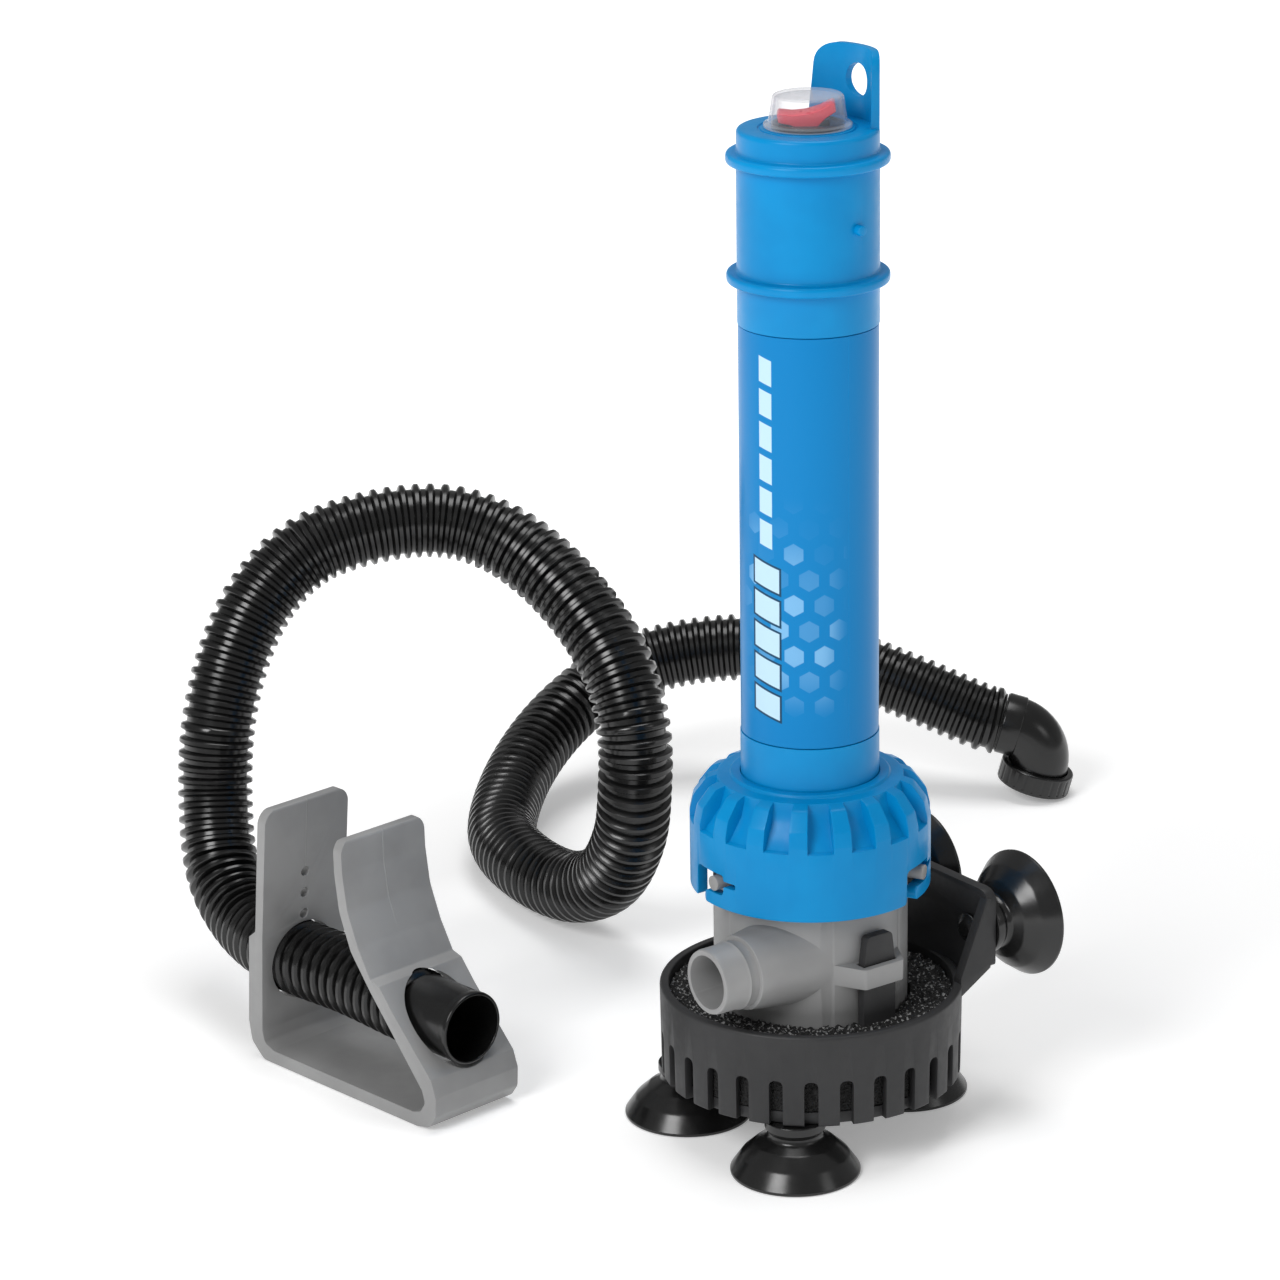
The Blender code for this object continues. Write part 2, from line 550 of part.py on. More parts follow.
def build_switch(mats, parent, pivot):
    """Switch body with bezel, red rocker on its pivot, and the clear boot over both."""
    bm = bmesh.new()
    add_turned(bm, [(0.0, 303 * MM), (9.5 * MM, 303 * MM), (9.5 * MM, CAP_TOP_Z + GAP),
                    (10.8 * MM, CAP_TOP_Z + GAP), (10.8 * MM, BEZEL_TOP_Z), (0.0, BEZEL_TOP_Z)], 20)
    body = make("switch_body", bm, mats["dark"], parent)
    bm = bmesh.new()
    add_box(bm, at(-6.4, -4.7, 313), at(6.4, 4.7, 318), Matrix.Rotation(SWITCH_TURN, 4, "Z"))
    combine(body, "rocker_well_cutter", bm)

    outline = mm([(-8.6, 0.9), (-5.0, -0.6), (-2.0, -2.8), (2.0, -2.8), (5.0, -0.6), (8.6, 0.9), (8.6, 3.0),
                  (7.9, 3.6), (0, 2.0), (-7.9, 3.6), (-8.6, 3.0)])
    bm = bmesh.new()
    add_prism(bm, outline, -4.3 * MM, 4.3 * MM, Matrix.Rotation(-SWITCH_TILT, 4, "Y") @ upright())
    make("switch_rocker", bm, mats["red"], pivot, smooth=False)

    foot = CAP_TOP_Z + GAP
    wall = 0.8 * MM
    bm = bmesh.new()
    add_turned(bm, [(0.0, BOOT_TOP_Z), (10.0 * MM, BOOT_TOP_Z), (10.7 * MM, BOOT_TOP_Z - 0.6 * MM),
                    (11.9 * MM, foot + 1.6 * MM), (13.4 * MM, foot + MM), (13.4 * MM, foot),
                    (11.1 * MM, foot), (10.0 * MM, BOOT_TOP_Z - wall - 0.4 * MM),
                    (9.4 * MM, BOOT_TOP_Z - wall), (0.0, BOOT_TOP_Z - wall)], 20)
    make("switch_boot", bm, mats["clear"], parent)


def build_cells(mats, parent):
    """Three cells in line, with their contacts, spring and return strip."""
    bm = bmesh.new()
    add_turned(bm, [(0.0, 0.0), (15.6 * MM, 0.0), (CELL_R, 0.8 * MM), (CELL_R, CELL_H - 2.6 * MM),
                    (15.6 * MM, CELL_H - 1.6 * MM), (4.8 * MM, CELL_H - 1.6 * MM), (4.8 * MM, CELL_H),
                    (0.0, CELL_H)], 16)
    first = make("cell_1", bm, mats["cell"], parent, (0, 0, CELL_FOOT_Z))
    for i in (1, 2):
        copy_of(first, f"cell_{i + 1}", parent, (0, 0, CELL_FOOT_Z + i * (CELL_H + GAP)))

    for name, radius, low, high in (("bottom_contact", 15 * MM, 109.3 * MM, 110.0 * MM),
                                    ("top_contact", 14 * MM, 300.9 * MM, 301.6 * MM)):
        bm = bmesh.new()
        add_turned(bm, [(0.0, low), (radius, low), (radius, high), (0.0, high)], 16)
        make(name, bm, mats["brass"], parent)

    bm = bmesh.new()
    add_box(bm, at(16.95, -2.5, 109.6), at(17.5, 2.5, 302.0))
    make("contact_strip", bm, mats["brass"], parent, smooth=False)

    wire_r, turns, steps = 0.45 * MM, 2.5, 24
    low, high = 110.0 * MM + GAP + wire_r, CELL_FOOT_Z - GAP - wire_r
    points = []
    for i in range(steps + 1):
        t = i / steps
        a = math.tau * turns * t
        r = (11 - 6 * t) * MM
        points.append((r * math.cos(a), r * math.sin(a), low + (high - low) * t))
    tube_curve("contact_spring", points, wire_r, 1, mats["steel"], parent)


def tube_curve(name, points, radius, resolution, mat, parent):
    """A solid round tube along a line of points, with filled ends."""
    data = bpy.data.curves.new(name, "CURVE")
    data.dimensions = "3D"
    data.bevel_depth = radius
    data.bevel_resolution = resolution
    data.use_fill_caps = True
    data.twist_mode = "MINIMUM"
    spline = data.splines.new("POLY")
    spline.points.add(len(points) - 1)
    for slot, point in zip(spline.points, points):
        slot.co = (*point, 1.0)
    data.materials.append(mat)
    item = bpy.data.objects.new(name, data)
    bpy.context.scene.collection.objects.link(item)
    item.parent = parent
    return item


def build_collar(mats, parent):
    """Bayonet collar: grip pockets round its shoulder and three hooked slots for the housing's pins."""
    low, high = COLLAR_Z
    bore = TUBE_R + 0.4 * MM
    bm = bmesh.new()
    add_turned(bm, [(COLLAR_BORE_R, low), (COLLAR_R, low), (COLLAR_R, 103.8 * MM), (35.9 * MM, 108.8 * MM),
                    (31.8 * MM, 114.2 * MM), (28.2 * MM, 115.4 * MM), (24.8 * MM, 115.6 * MM),
                    (24.2 * MM, high), (bore, high), (bore, 104.7 * MM), (30.4 * MM, 104.7 * MM),
                    (COLLAR_BORE_R, 100.5 * MM)], 3 * GRIP_POCKETS)
    collar = make("locking_collar", bm, mats["blue"], parent)

    bm = bmesh.new()
    for i in range(GRIP_POCKETS):
        turn = Matrix.Rotation(GRIP_START + math.tau * i / GRIP_POCKETS, 4, "Z")
        slope = mm([(28.6, 113.6), (30.2, 108.6), (35.2, 102.4), (39, 101.6), (39, 118), (28.6, 118)])
        side = Matrix(((1, 0, 0, 0), (0, 0, -1, 0), (0, 1, 0, 0), (0, 0, 0, 1)))
        add_prism(bm, slope, -3.7 * MM, 3.7 * MM, turn @ side)
    combine(collar, "grip_pocket_cutters", bm)

    wall = (COLLAR_BORE_R - 2 * MM, COLLAR_R + 1.5 * MM)
    for name, span, heights, steps in (("slot_mouth_cutters", (-16.2, -8.7), (low - MM, 91.3 * MM), 2),
                                       ("slot_pocket_cutters", (-15.9, 6.5), (84.6 * MM, 91.0 * MM), 5),
                                       ("slot_relief_cutters", (6.0, 14.6), (87.8 * MM, 89.4 * MM), 2)):
        bm = bmesh.new()
        for angle in PIN_ANGLES:
            add_sector(bm, wall, [angle + math.radians(a) for a in span], heights, steps)
        combine(collar, name, bm)


# ---------------------------------------------------------------- hose set

def smooth_route(points, count):
    """Evenly spaced points on a Catmull-Rom curve through the route's points."""
    pts = [Vector(p) for p in points]
    pts = [pts[0] * 2 - pts[1]] + pts + [pts[-1] * 2 - pts[-2]]
    dense = []
    for a, b, c, d in zip(pts, pts[1:], pts[2:], pts[3:]):
        for k in range(12):
            t = k / 12
            dense.append(0.5 * (2 * b + (c - a) * t + (2 * a - 5 * b + 4 * c - d) * t ** 2
                                + (3 * b - a - 3 * c + d) * t ** 3))
    dense.append(pts[-2])
    lengths = [0.0]
    for a, b in zip(dense, dense[1:]):
        lengths.append(lengths[-1] + (b - a).length)
    even, j = [], 0
    for i in range(count):
        want = lengths[-1] * i / (count - 1)
        while j < len(dense) - 2 and lengths[j + 1] < want:
            j += 1
        step = lengths[j + 1] - lengths[j]
        even.append(dense[j].lerp(dense[j + 1], (want - lengths[j]) / step if step else 0.0))
    return even


def build_clip(mats, parent):
    """Gunwale clip: one bent strip with bores for the hose and three small holes."""
    outline = mm([
        (-79.4, 0), (-4.5, 0), (1.5, 1.2), (4.6, 5.5), (5, 12), (3, 17.5), (-14.5, 35.5), (-20.5, 42.5),
        (-24.5, 43.6), (-30, 53), (-34.5, 64), (-36.3, 76), (-36.5, 86), (-40.3, 86), (-40.2, 75),
        (-38.4, 62.5), (-33.5, 50.5), (-24.8, 39.5), (-1.5, 13), (-0.2, 9), (-2.5, 5.5), (-6, 4.4), (-74, 4.4),
        (-78.5, 6), (-79.6, 10), (-77.6, 42), (-73.2, 87), (-77, 87), (-81, 44), (-84.3, 41.5), (-86.3, 12),
        (-85, 5)])
    bm = bmesh.new()
    add_prism(bm, outline, -CLIP_HALF_W, CLIP_HALF_W, upright())
    clip = make("hose_clip", bm, mats["grey"], parent, smooth=False)
    bm = bmesh.new()
    add_rod(bm, (-100 * MM, 0, CLIP_BORE_Z + MM), (-60 * MM, 0, CLIP_BORE_Z + MM), 13.6 * MM, 20)
    add_rod(bm, (-30 * MM, 0, CLIP_BORE_Z), (20 * MM, 0, CLIP_BORE_Z), 13.0 * MM, 20)
    for height in (46.5, 54.5, 62.5):
        add_rod(bm, (-90 * MM, 0, (height + 0.6) * MM), (-60 * MM, 0, (height + 0.6) * MM), 1.4 * MM, 8)
    combine(clip, "clip_hole_cutters", bm)

    ahead = Vector((1, 0, 0))
    bm = bmesh.new()
    add_pipe(bm, [(Vector((x, 0, CLIP_BORE_Z)), ahead, CUFF_R, CUFF_R - 1.9 * MM)
                  for x in (CUFF_SPAN[1], CUFF_SPAN[0])], 20)
    make("hose_cuff", bm, mats["hose"], parent)


def build_elbow(mats, place, spin):
    """Elbow in its own frame: the nut's mouth at the origin, the outlet down -Z, the hose coming from -X."""
    bend = 12.5 * MM
    down, ahead = Vector((0, 0, -1)), Vector((1, 0, 0))
    corner = Vector((0, 0, ELBOW_DROP))
    start = corner - ahead * (ELBOW_LEG - GAP)
    sections = [(start, ahead, ELBOW_R, ELBOW_BORE_R)]
    pivot = corner - ahead * bend + down * bend
    arc_steps = 4
    for i in range(arc_steps + 1):
        a = math.pi / 2 * i / arc_steps
        centre = pivot + Vector((bend * math.sin(a), 0, bend * math.cos(a)))
        sections.append((centre, Vector((math.cos(a), 0, -math.sin(a))), ELBOW_R, ELBOW_BORE_R))
    lip = 2.2 * MM
    for height, radius in ((lip + 1.6 * MM, ELBOW_R), (lip + 1.5 * MM, ELBOW_R + MM), (lip, ELBOW_R + MM)):
        sections.append((Vector((0, 0, height)), down, radius, ELBOW_BORE_R))
    bm = bmesh.new()
    add_pipe(bm, sections, 16)
    make("hose_elbow", bm, mats["hose"], place)

    bm = bmesh.new()
    add_turned(bm, [(12.4 * MM, 0.0), (NUT_R - 0.5 * MM, 0.0), (NUT_R, 0.5 * MM), (NUT_R, 7.4 * MM),
                    (NUT_R - 0.6 * MM, 8 * MM), (11.4 * MM, 8 * MM), (11.4 * MM, 4.1 * MM),
                    (12.4 * MM, 4.1 * MM)], 24)
    make("swivel_nut", bm, mats["hose"], spin)
    bm = bmesh.new()
    add_turned(bm, [(8.6 * MM, 0.4 * MM), (12.0 * MM, 0.4 * MM), (12.0 * MM, 1.9 * MM), (8.6 * MM, 1.9 * MM)],
               16)
    make("nut_washer", bm, mats["seal"], spin)


def build_hose_set(mats, parent):
    clip_frame = empty("clip_frame", CLIP_PLACE, parent, (0, 0, CLIP_TURN))
    build_clip(mats, clip_frame)

    turn = Matrix.Rotation(CLIP_TURN, 3, "Z")
    cuff_end = CLIP_PLACE + turn @ Vector((CUFF_SPAN[1] - GAP, 0, CLIP_BORE_Z))
    out_of_cuff = CLIP_PLACE + turn @ Vector((CUFF_SPAN[1] - HOSE_STRAIGHT, 0, CLIP_BORE_Z))
    hose_end = Vector(at(*HOSE_END))
    ahead = Vector((math.cos(ELBOW_YAW) * math.cos(ELBOW_DIP), math.sin(ELBOW_YAW) * math.cos(ELBOW_DIP),
                    -math.sin(ELBOW_DIP)))
    route = [cuff_end, out_of_cuff, *map(Vector, mm(HOSE_ROUTE)), hose_end - ahead * HOSE_STRAIGHT, hose_end]
    tube_curve("discharge_hose", smooth_route(route, HOSE_POINTS), HOSE_R, 2, mats["hose"], parent)

    side = Vector((-math.sin(ELBOW_YAW), math.cos(ELBOW_YAW), 0))
    up = ahead.cross(side)
    mouth = hose_end + ahead * ELBOW_LEG - up * ELBOW_DROP
    rotation = Matrix((ahead, side, up)).transposed().to_euler()
    elbow_frame = empty("elbow_frame", mouth, parent, rotation)
    nut_axis = empty("nut_spin_axis", (0, 0, 0), elbow_frame)
    build_elbow(mats, elbow_frame, nut_axis)


# ---------------------------------------------------------------- the whole

def build_materials():
    return {
        "blue": finish_material("blue_abs", (0.0, 0.27, 0.65), 0.38),
        "label": finish_material("printed_vinyl_label", (0.02, 0.30, 0.68), 0.3),
        "grey": finish_material("grey_abs", (0.21, 0.21, 0.21), 0.5),
        "base": finish_material("charcoal_abs", (0.04, 0.04, 0.04), 0.5),
        "cup": finish_material("black_pvc_cup", (0.008, 0.008, 0.008), 0.35),
        "foam": finish_material("black_reticulated_foam", (0.006, 0.006, 0.006), 0.95),
        "hose": finish_material("black_polyethylene", (0.008, 0.008, 0.008), 0.32),
        "dark": finish_material("black_nylon", (0.015, 0.015, 0.015), 0.45),
        "seal": finish_material("nitrile_rubber", (0.01, 0.01, 0.01), 0.7),
        "red": finish_material("red_nylon", (0.75, 0.04, 0.06), 0.4),
        "clear": finish_material("clear_pvc_boot", (0.8, 0.82, 0.85), 0.15, alpha=0.35),
        "cell": finish_material("cell_jacket", (0.05, 0.05, 0.055), 0.3, 0.4),
        "steel": finish_material("zinc_plated_steel", (0.55, 0.55, 0.56), 0.3, 1.0),
        "brass": finish_material("brass_contact", (0.75, 0.52, 0.22), 0.3, 1.0),
    }


def main():
    clear_scene()
    mats = build_materials()
    centre = (0, AXIS_Y, 0)
    base = empty("strainer_base_frame", centre)
    build_basket(mats, base)
    build_cups(mats, base)
    build_foam(mats, base)

    pump = empty("pump_lift_axis", centre)
    spin = empty("impeller_spin_axis", (0, 0, 0), pump)
    rock = empty("switch_rock_axis", (0, 0, SWITCH_PIVOT_Z), pump, (0, 0, SWITCH_TURN))
    collar = empty("collar_turn_axis", (0, 0, 0), pump)
    build_housing(mats, pump)
    build_pump_inside(mats, pump, spin)
    build_tube(mats, pump)
    build_cells(mats, pump)
    build_cap(mats, pump)
    build_switch(mats, pump, rock)
    build_collar(mats, collar)

    build_hose_set(mats, empty("hose_set_frame", centre))


main()
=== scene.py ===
"""Portable battery bilge pump, its suction-cup strainer base, and its corrugated hose with a gunwale clip.

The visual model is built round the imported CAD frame. World units are metres. The sizes of each
sub-assembly are millimetres in its dataclass, measured from the pump's axis, and are turned to metres where
a shape is drawn.
"""
from __future__ import annotations

import json
import logging
import math
from dataclasses import dataclass, field
from enum import Enum

import bmesh
import bpy
from mathutils import Matrix, Vector, noise


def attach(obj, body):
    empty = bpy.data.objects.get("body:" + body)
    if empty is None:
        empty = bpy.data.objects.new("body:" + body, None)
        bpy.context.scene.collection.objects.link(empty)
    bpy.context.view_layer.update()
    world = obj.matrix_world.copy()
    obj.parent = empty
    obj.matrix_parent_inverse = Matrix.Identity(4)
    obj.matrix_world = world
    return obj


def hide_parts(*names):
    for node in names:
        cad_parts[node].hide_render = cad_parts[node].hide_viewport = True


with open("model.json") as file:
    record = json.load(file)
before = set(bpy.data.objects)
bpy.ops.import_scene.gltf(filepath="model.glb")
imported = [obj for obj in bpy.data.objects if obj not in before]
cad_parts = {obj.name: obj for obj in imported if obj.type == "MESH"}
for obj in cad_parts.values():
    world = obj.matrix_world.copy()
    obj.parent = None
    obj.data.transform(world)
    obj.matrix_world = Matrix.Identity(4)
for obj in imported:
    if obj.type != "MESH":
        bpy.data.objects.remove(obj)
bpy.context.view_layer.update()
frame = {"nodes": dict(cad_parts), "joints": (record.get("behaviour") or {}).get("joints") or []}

LOG = logging.getLogger("bilge_pump")
MM = 0.001
JOINTS = {joint["name"]: joint for joint in frame["joints"]}
AXIS = Vector((*JOINTS["collar_turn"]["pos_m"][:2], 0.0))
ON_AXIS = Matrix.Translation(AXIS)
Point = tuple[float, ...]


class Cut(Enum):
    """What a second solid does to a piece."""

    AWAY = "DIFFERENCE"
    ADDED = "UNION"
    KEPT = "INTERSECT"


class Slot(Enum):
    """The record's material slots that the pieces take their finish from."""

    BLUE = "blue_abs"
    LABEL = "printed_vinyl_label"
    GREY = "grey_abs"
    CHARCOAL = "charcoal_abs"
    CUP = "black_pvc_cup"
    FOAM = "black_foam"
    HOSE = "black_polyethylene"
    NYLON = "black_nylon"
    SEAL = "nitrile_rubber"
    RED = "red_nylon"
    CLEAR = "clear_pvc"
    CELL = "cell_jacket"
    STEEL = "zinc_plated_steel"
    BRASS = "brass_contact"


# ---------------------------------------------------------------- finishes

COORDINATES, MAPPING, SEPARATE = "ShaderNodeTexCoord", "ShaderNodeMapping", "ShaderNodeSeparateXYZ"
MATH, VECTOR, RANGE = "ShaderNodeMath", "ShaderNodeVectorMath", "ShaderNodeMapRange"
NOISE, MIX, BUMP = "ShaderNodeTexNoise", "ShaderNodeMix", "ShaderNodeBump"
SMOOTH = {"interpolation_type": "SMOOTHSTEP"}
COLOURS = {"data_type": "RGBA", "output": 2}


def linear(colour: str) -> tuple[float, float, float, float]:
    """Turn an sRGB hex colour to linear light.

    Args:
        colour: The colour as "#RRGGBB".

    Returns:
        Linear red, green, blue and an alpha of one.
    """
    parts = [int(colour[i:i + 2], 16) / 255 for i in (1, 3, 5)]
    light = [c / 12.92 if c <= 0.04045 else ((c + 0.055) / 1.055) ** 2.4 for c in parts]
    return (light[0], light[1], light[2], 1.0)


def per_metre(size_mm: float) -> float:
    """Return the texture scale whose features are about size_mm across."""
    return 1.0 / (size_mm * MM)


def feed(tree: bpy.types.NodeTree, node: bpy.types.Node, inputs: dict | tuple) -> None:
    """Set or link a node's inputs.

    Args:
        tree: The material's node tree.
        node: The node.
        inputs: Values, or the output sockets that feed them, by the inputs' names or numbers, or in order.
    """
    for place, value in inputs.items() if isinstance(inputs, dict) else enumerate(inputs):
        if isinstance(value, bpy.types.NodeSocket):
            tree.links.new(value, node.inputs[place])
        else:
            node.inputs[place].default_value = value


def add_node(tree: bpy.types.NodeTree, kind: str, inputs: dict | tuple = (), output: int | str = 0,
             **settings) -> bpy.types.NodeSocket:
    """Add a shader node with its settings, values and links.

    Args:
        tree: The material's node tree.
        kind: The node's type name.
        inputs: What feed puts in its inputs.
        output: The name or number of the output that is wanted.
        **settings: The node's own properties.

    Returns:
        The wanted output of the new node.
    """
    node = tree.nodes.new(kind)
    for name, value in settings.items():
        setattr(node, name, value)
    feed(tree, node, inputs)
    return node.outputs[output]


def new_material(name: str) -> tuple[bpy.types.Material, bpy.types.NodeTree, bpy.types.Node]:
    """Start a material.

    Args:
        name: The material's name.

    Returns:
        The material, its node tree and its shader.
    """
    material = bpy.data.materials.new(name)
    material.use_nodes = True
    return material, material.node_tree, material.node_tree.nodes["Principled BSDF"]


@dataclass(frozen=True)
class Moulding:
    """An injection-moulded plastic or rubber: even colour, slow gloss changes and the mould's fine grain."""

    name: str
    colour: str
    shade: str                  # the darker tone of its slow mottling
    roughness: float
    gloss_spread: float = 0.08
    ior: float = 1.53
    mottle_mm: float = 24.0
    grain_mm: float = 0.5       # spark-eroded grain, drawn coarser than the real 0.1 mm so that it shows
    grain_depth_mm: float = 0.012
    coat: float = 0.0
    specular: float = 0.5
    seam: tuple[float, float, float] | None = None      # a mould's joint plane: x and y in metres, yaw
    seam_depth_mm: float = 0.1
    seam_tint: float = 0.12
    seam_fades_mm: tuple[float, float] = (50.0, 66.0)   # the heights between which it comes in

    def build(self) -> bpy.types.Material:
        """Build the material.

        Returns:
            The material.
        """
        material, tree, shader = new_material(self.name)
        place = add_node(tree, COORDINATES, output="Object")
        noises = ((self.mottle_mm, 3.0, 0.55), (self.mottle_mm / 7, 4.0, 0.6), (self.grain_mm, 2.0, 0.6))
        mottle, smear, grain = (
            add_node(tree, NOISE, (place, 0.0, per_metre(size), detail, rough))
            for size, detail, rough in noises)
        mottle = add_node(tree, RANGE, (mottle, 0.35, 0.68), **SMOOTH)
        tone = add_node(tree, MIX, {0: mottle, 6: linear(self.shade), 7: linear(self.colour)}, **COLOURS)
        height = add_node(tree, MATH, (grain, self.grain_depth_mm * MM), operation="MULTIPLY")
        if self.seam is not None:
            line = self.seam_line(tree, place)
            ridge = add_node(tree, MATH, (line, self.seam_depth_mm * MM), operation="MULTIPLY")
            height = add_node(tree, MATH, (height, ridge), operation="ADD")
            tint = add_node(tree, MATH, (line, self.seam_tint), operation="MULTIPLY")
            tone = add_node(tree, MIX, {0: tint, 6: tone, 7: linear("#C8C8C8")}, **COLOURS)
        half = self.gloss_spread / 2
        low, high = self.roughness - half, self.roughness + half
        gloss = add_node(tree, RANGE, (smear, 0.3, 0.7, low, high), **SMOOTH)
        bump = add_node(tree, BUMP, {"Height": height, "Distance": 1.0, "Strength": 1.0})
        feed(tree, shader, {"Base Color": tone, "Roughness": gloss, "Normal": bump, "IOR": self.ior,
                            "Coat Weight": self.coat, "Specular IOR Level": self.specular})
        return material

    def seam_line(self, tree: bpy.types.NodeTree, place: bpy.types.NodeSocket) -> bpy.types.NodeSocket:
        """Draw the fine line where the mould's halves met.

        Args:
            tree: The material's node tree.
            place: The coordinates on the object.

        Returns:
            A mask that is one on the line.
        """
        x, y, yaw = self.seam
        local = add_node(tree, MAPPING, (place, (x, y, 0.0), (0.0, 0.0, yaw)), vector_type="TEXTURE")
        across = add_node(tree, SEPARATE, (local,)).node.outputs
        off = add_node(tree, MATH, (across["Y"],), operation="ABSOLUTE")
        line = add_node(tree, RANGE, (off, 0.1 * MM, 0.35 * MM, 1.0, 0.0), **SMOOTH)
        low, high = self.seam_fades_mm
        rise = add_node(tree, RANGE, (across["Z"], low * MM, high * MM), **SMOOTH)
        return add_node(tree, MATH, (line, rise), operation="MULTIPLY")


@dataclass(frozen=True)
class PrintedVinyl:
    """A printed vinyl wrap: smooth, with pale printed cells that fade out and two rows of plain blocks."""

    name: str = "printed_vinyl_wrap"
    ground: str = "#007DBE"
    cell: str = "#8CC4EC"
    ink: str = "#BCDCF0"
    shadow: str = "#17425F"
    cell_pitch_mm: float = 9.2
    cell_half_mm: float = 2.95
    roughness: float = 0.33
    ior: float = 1.5
    specular: float = 0.16
    slant: float = 0.28
    badge: tuple[float, ...] = (143.5, 153.5, 163.5, 173.5, 183.5)               # middles of the wide blocks
    stripe: tuple[float, ...] = (196.5, 206.5, 216.5, 226.5, 236.5, 246.5)       # and of the narrow ones
    badge_half: tuple[float, float] = (4.6, 3.7)
    stripe_half: tuple[float, float] = (2.3, 3.9)
    outline_mm: float = 0.7
    lap_mm: tuple[float, float] = (26.2, 26.5)          # where the sheet's end steps up on its start

    def build(self) -> bpy.types.Material:
        """Build the material on the wrap's own UV map, which is in millimetres round and up.

        Returns:
            The material.
        """
        material, tree, shader = new_material(self.name)
        flat = add_node(tree, "ShaderNodeUVMap", uv_map="wrap_mm")
        across, up = add_node(tree, SEPARATE, (flat,)).node.outputs[:2]
        cells, pick = self.cells(tree, flat)
        off = add_node(tree, MATH, (across, -7.0), operation="ADD")
        off = add_node(tree, MATH, (off,), operation="ABSOLUTE")
        strength = cells
        for value, *reach in ((up, 138.0, 160.0), (up, 176.0, 210.0, 1.0, 0.0), (off, 10.0, 19.5, 1.0, 0.0),
                              (pick, 0.1, 1.0, 0.05, 0.75)):
            fade = add_node(tree, RANGE, (value, *reach), **SMOOTH)
            strength = add_node(tree, MATH, (strength, fade), operation="MULTIPLY")
        tone = add_node(tree, MIX, {0: strength, 6: linear(self.ground), 7: linear(self.cell)}, **COLOURS)
        marks = [(z, self.badge_half, self.outline_mm, self.shadow) for z in self.badge]
        marks += [(z, self.badge_half, 0.0, self.ink) for z in self.badge]
        marks += [(z, self.stripe_half, 0.0, self.ink) for z in self.stripe]
        for middle, half, grow, colour in marks:
            mask = self.block(tree, across, up, middle, half, grow)
            tone = add_node(tree, MIX, {0: mask, 6: tone, 7: linear(colour)}, **COLOURS)
        place = add_node(tree, COORDINATES, output="Object")
        ripple = add_node(tree, NOISE, {"Vector": place, "Scale": per_metre(9.0), "Detail": 2.0})
        ripple = add_node(tree, MATH, (ripple, 0.03 * MM), operation="MULTIPLY")
        lap = add_node(tree, RANGE, (across, *self.lap_mm, 0.0, 0.1 * MM), **SMOOTH)
        height = add_node(tree, MATH, (ripple, lap), operation="ADD")
        bump = add_node(tree, BUMP, {"Height": height, "Distance": 1.0, "Strength": 1.0})
        feed(tree, shader, {"Base Color": tone, "Roughness": self.roughness, "Normal": bump,
                            "IOR": self.ior, "Specular IOR Level": self.specular})
        return material

    def cells(self, tree: bpy.types.NodeTree, flat: bpy.types.NodeSocket) -> tuple:
        """Draw a honeycomb.

        Args:
            tree: The material's node tree.
            flat: The position on the wrap in millimetres.

        Returns:
            A mask that is one inside each cell, and a value that differs from cell to cell.
        """
        half = (self.cell_pitch_mm / 2, self.cell_pitch_mm * math.sqrt(3) / 2, 0.5)
        low = tuple(-h for h in half)
        shifted = add_node(tree, VECTOR, (flat, half), operation="ADD")
        near = [add_node(tree, VECTOR, (source, half, low), operation="WRAP") for source in (flat, shifted)]
        size = [add_node(tree, VECTOR, (one,), "Value", operation="LENGTH") for one in near]
        second = add_node(tree, MATH, (size[1], size[0]), operation="LESS_THAN")
        offset = add_node(tree, MIX, {0: second, 4: near[0], 5: near[1]}, 1, data_type="VECTOR")
        parts = add_node(tree, VECTOR, (offset,), operation="ABSOLUTE")
        x, y = add_node(tree, SEPARATE, (parts,)).node.outputs[:2]
        lean = add_node(tree, MATH, (x, 0.5), operation="MULTIPLY")
        lean = add_node(tree, MATH, (y, math.sqrt(3) / 2, lean), operation="MULTIPLY_ADD")
        edge = add_node(tree, MATH, (x, lean), operation="MAXIMUM")
        reach, soft = self.cell_half_mm, 0.15
        mask = add_node(tree, RANGE, (edge, reach - soft, reach + soft, 1.0, 0.0), **SMOOTH)
        middle = add_node(tree, VECTOR, (flat, offset), operation="SUBTRACT")
        snapped = add_node(tree, VECTOR, (middle, (0.5, 0.5, 0.5)), operation="SNAP")
        return mask, add_node(tree, "ShaderNodeTexWhiteNoise", (snapped,), noise_dimensions="3D")

    def block(self, tree: bpy.types.NodeTree, across: bpy.types.NodeSocket, up: bpy.types.NodeSocket,
              middle: float, half: tuple[float, float], grow: float) -> bpy.types.NodeSocket:
        """Draw one block with slanted ends; all sizes are millimetres.

        Args:
            tree: The material's node tree.
            across: The place round the wrap.
            up: The height.
            middle: The height of the block's middle.
            half: Half its width and half its height.
            grow: How far it reaches past them on every side.

        Returns:
            A mask that is one inside the block.
        """
        lifted = add_node(tree, MATH, (up, -middle), operation="ADD")
        lifted = add_node(tree, MATH, (across, self.slant, lifted), operation="MULTIPLY_ADD")
        past = []
        for off, reach in ((across, half[0] + grow), (lifted, half[1] + grow)):
            size = add_node(tree, MATH, (off,), operation="ABSOLUTE")
            past.append(add_node(tree, MATH, (size, reach), operation="SUBTRACT"))
        edge = add_node(tree, MATH, tuple(past), operation="MAXIMUM")
        return add_node(tree, RANGE, (edge, -0.12, 0.12, 1.0, 0.0), **SMOOTH)


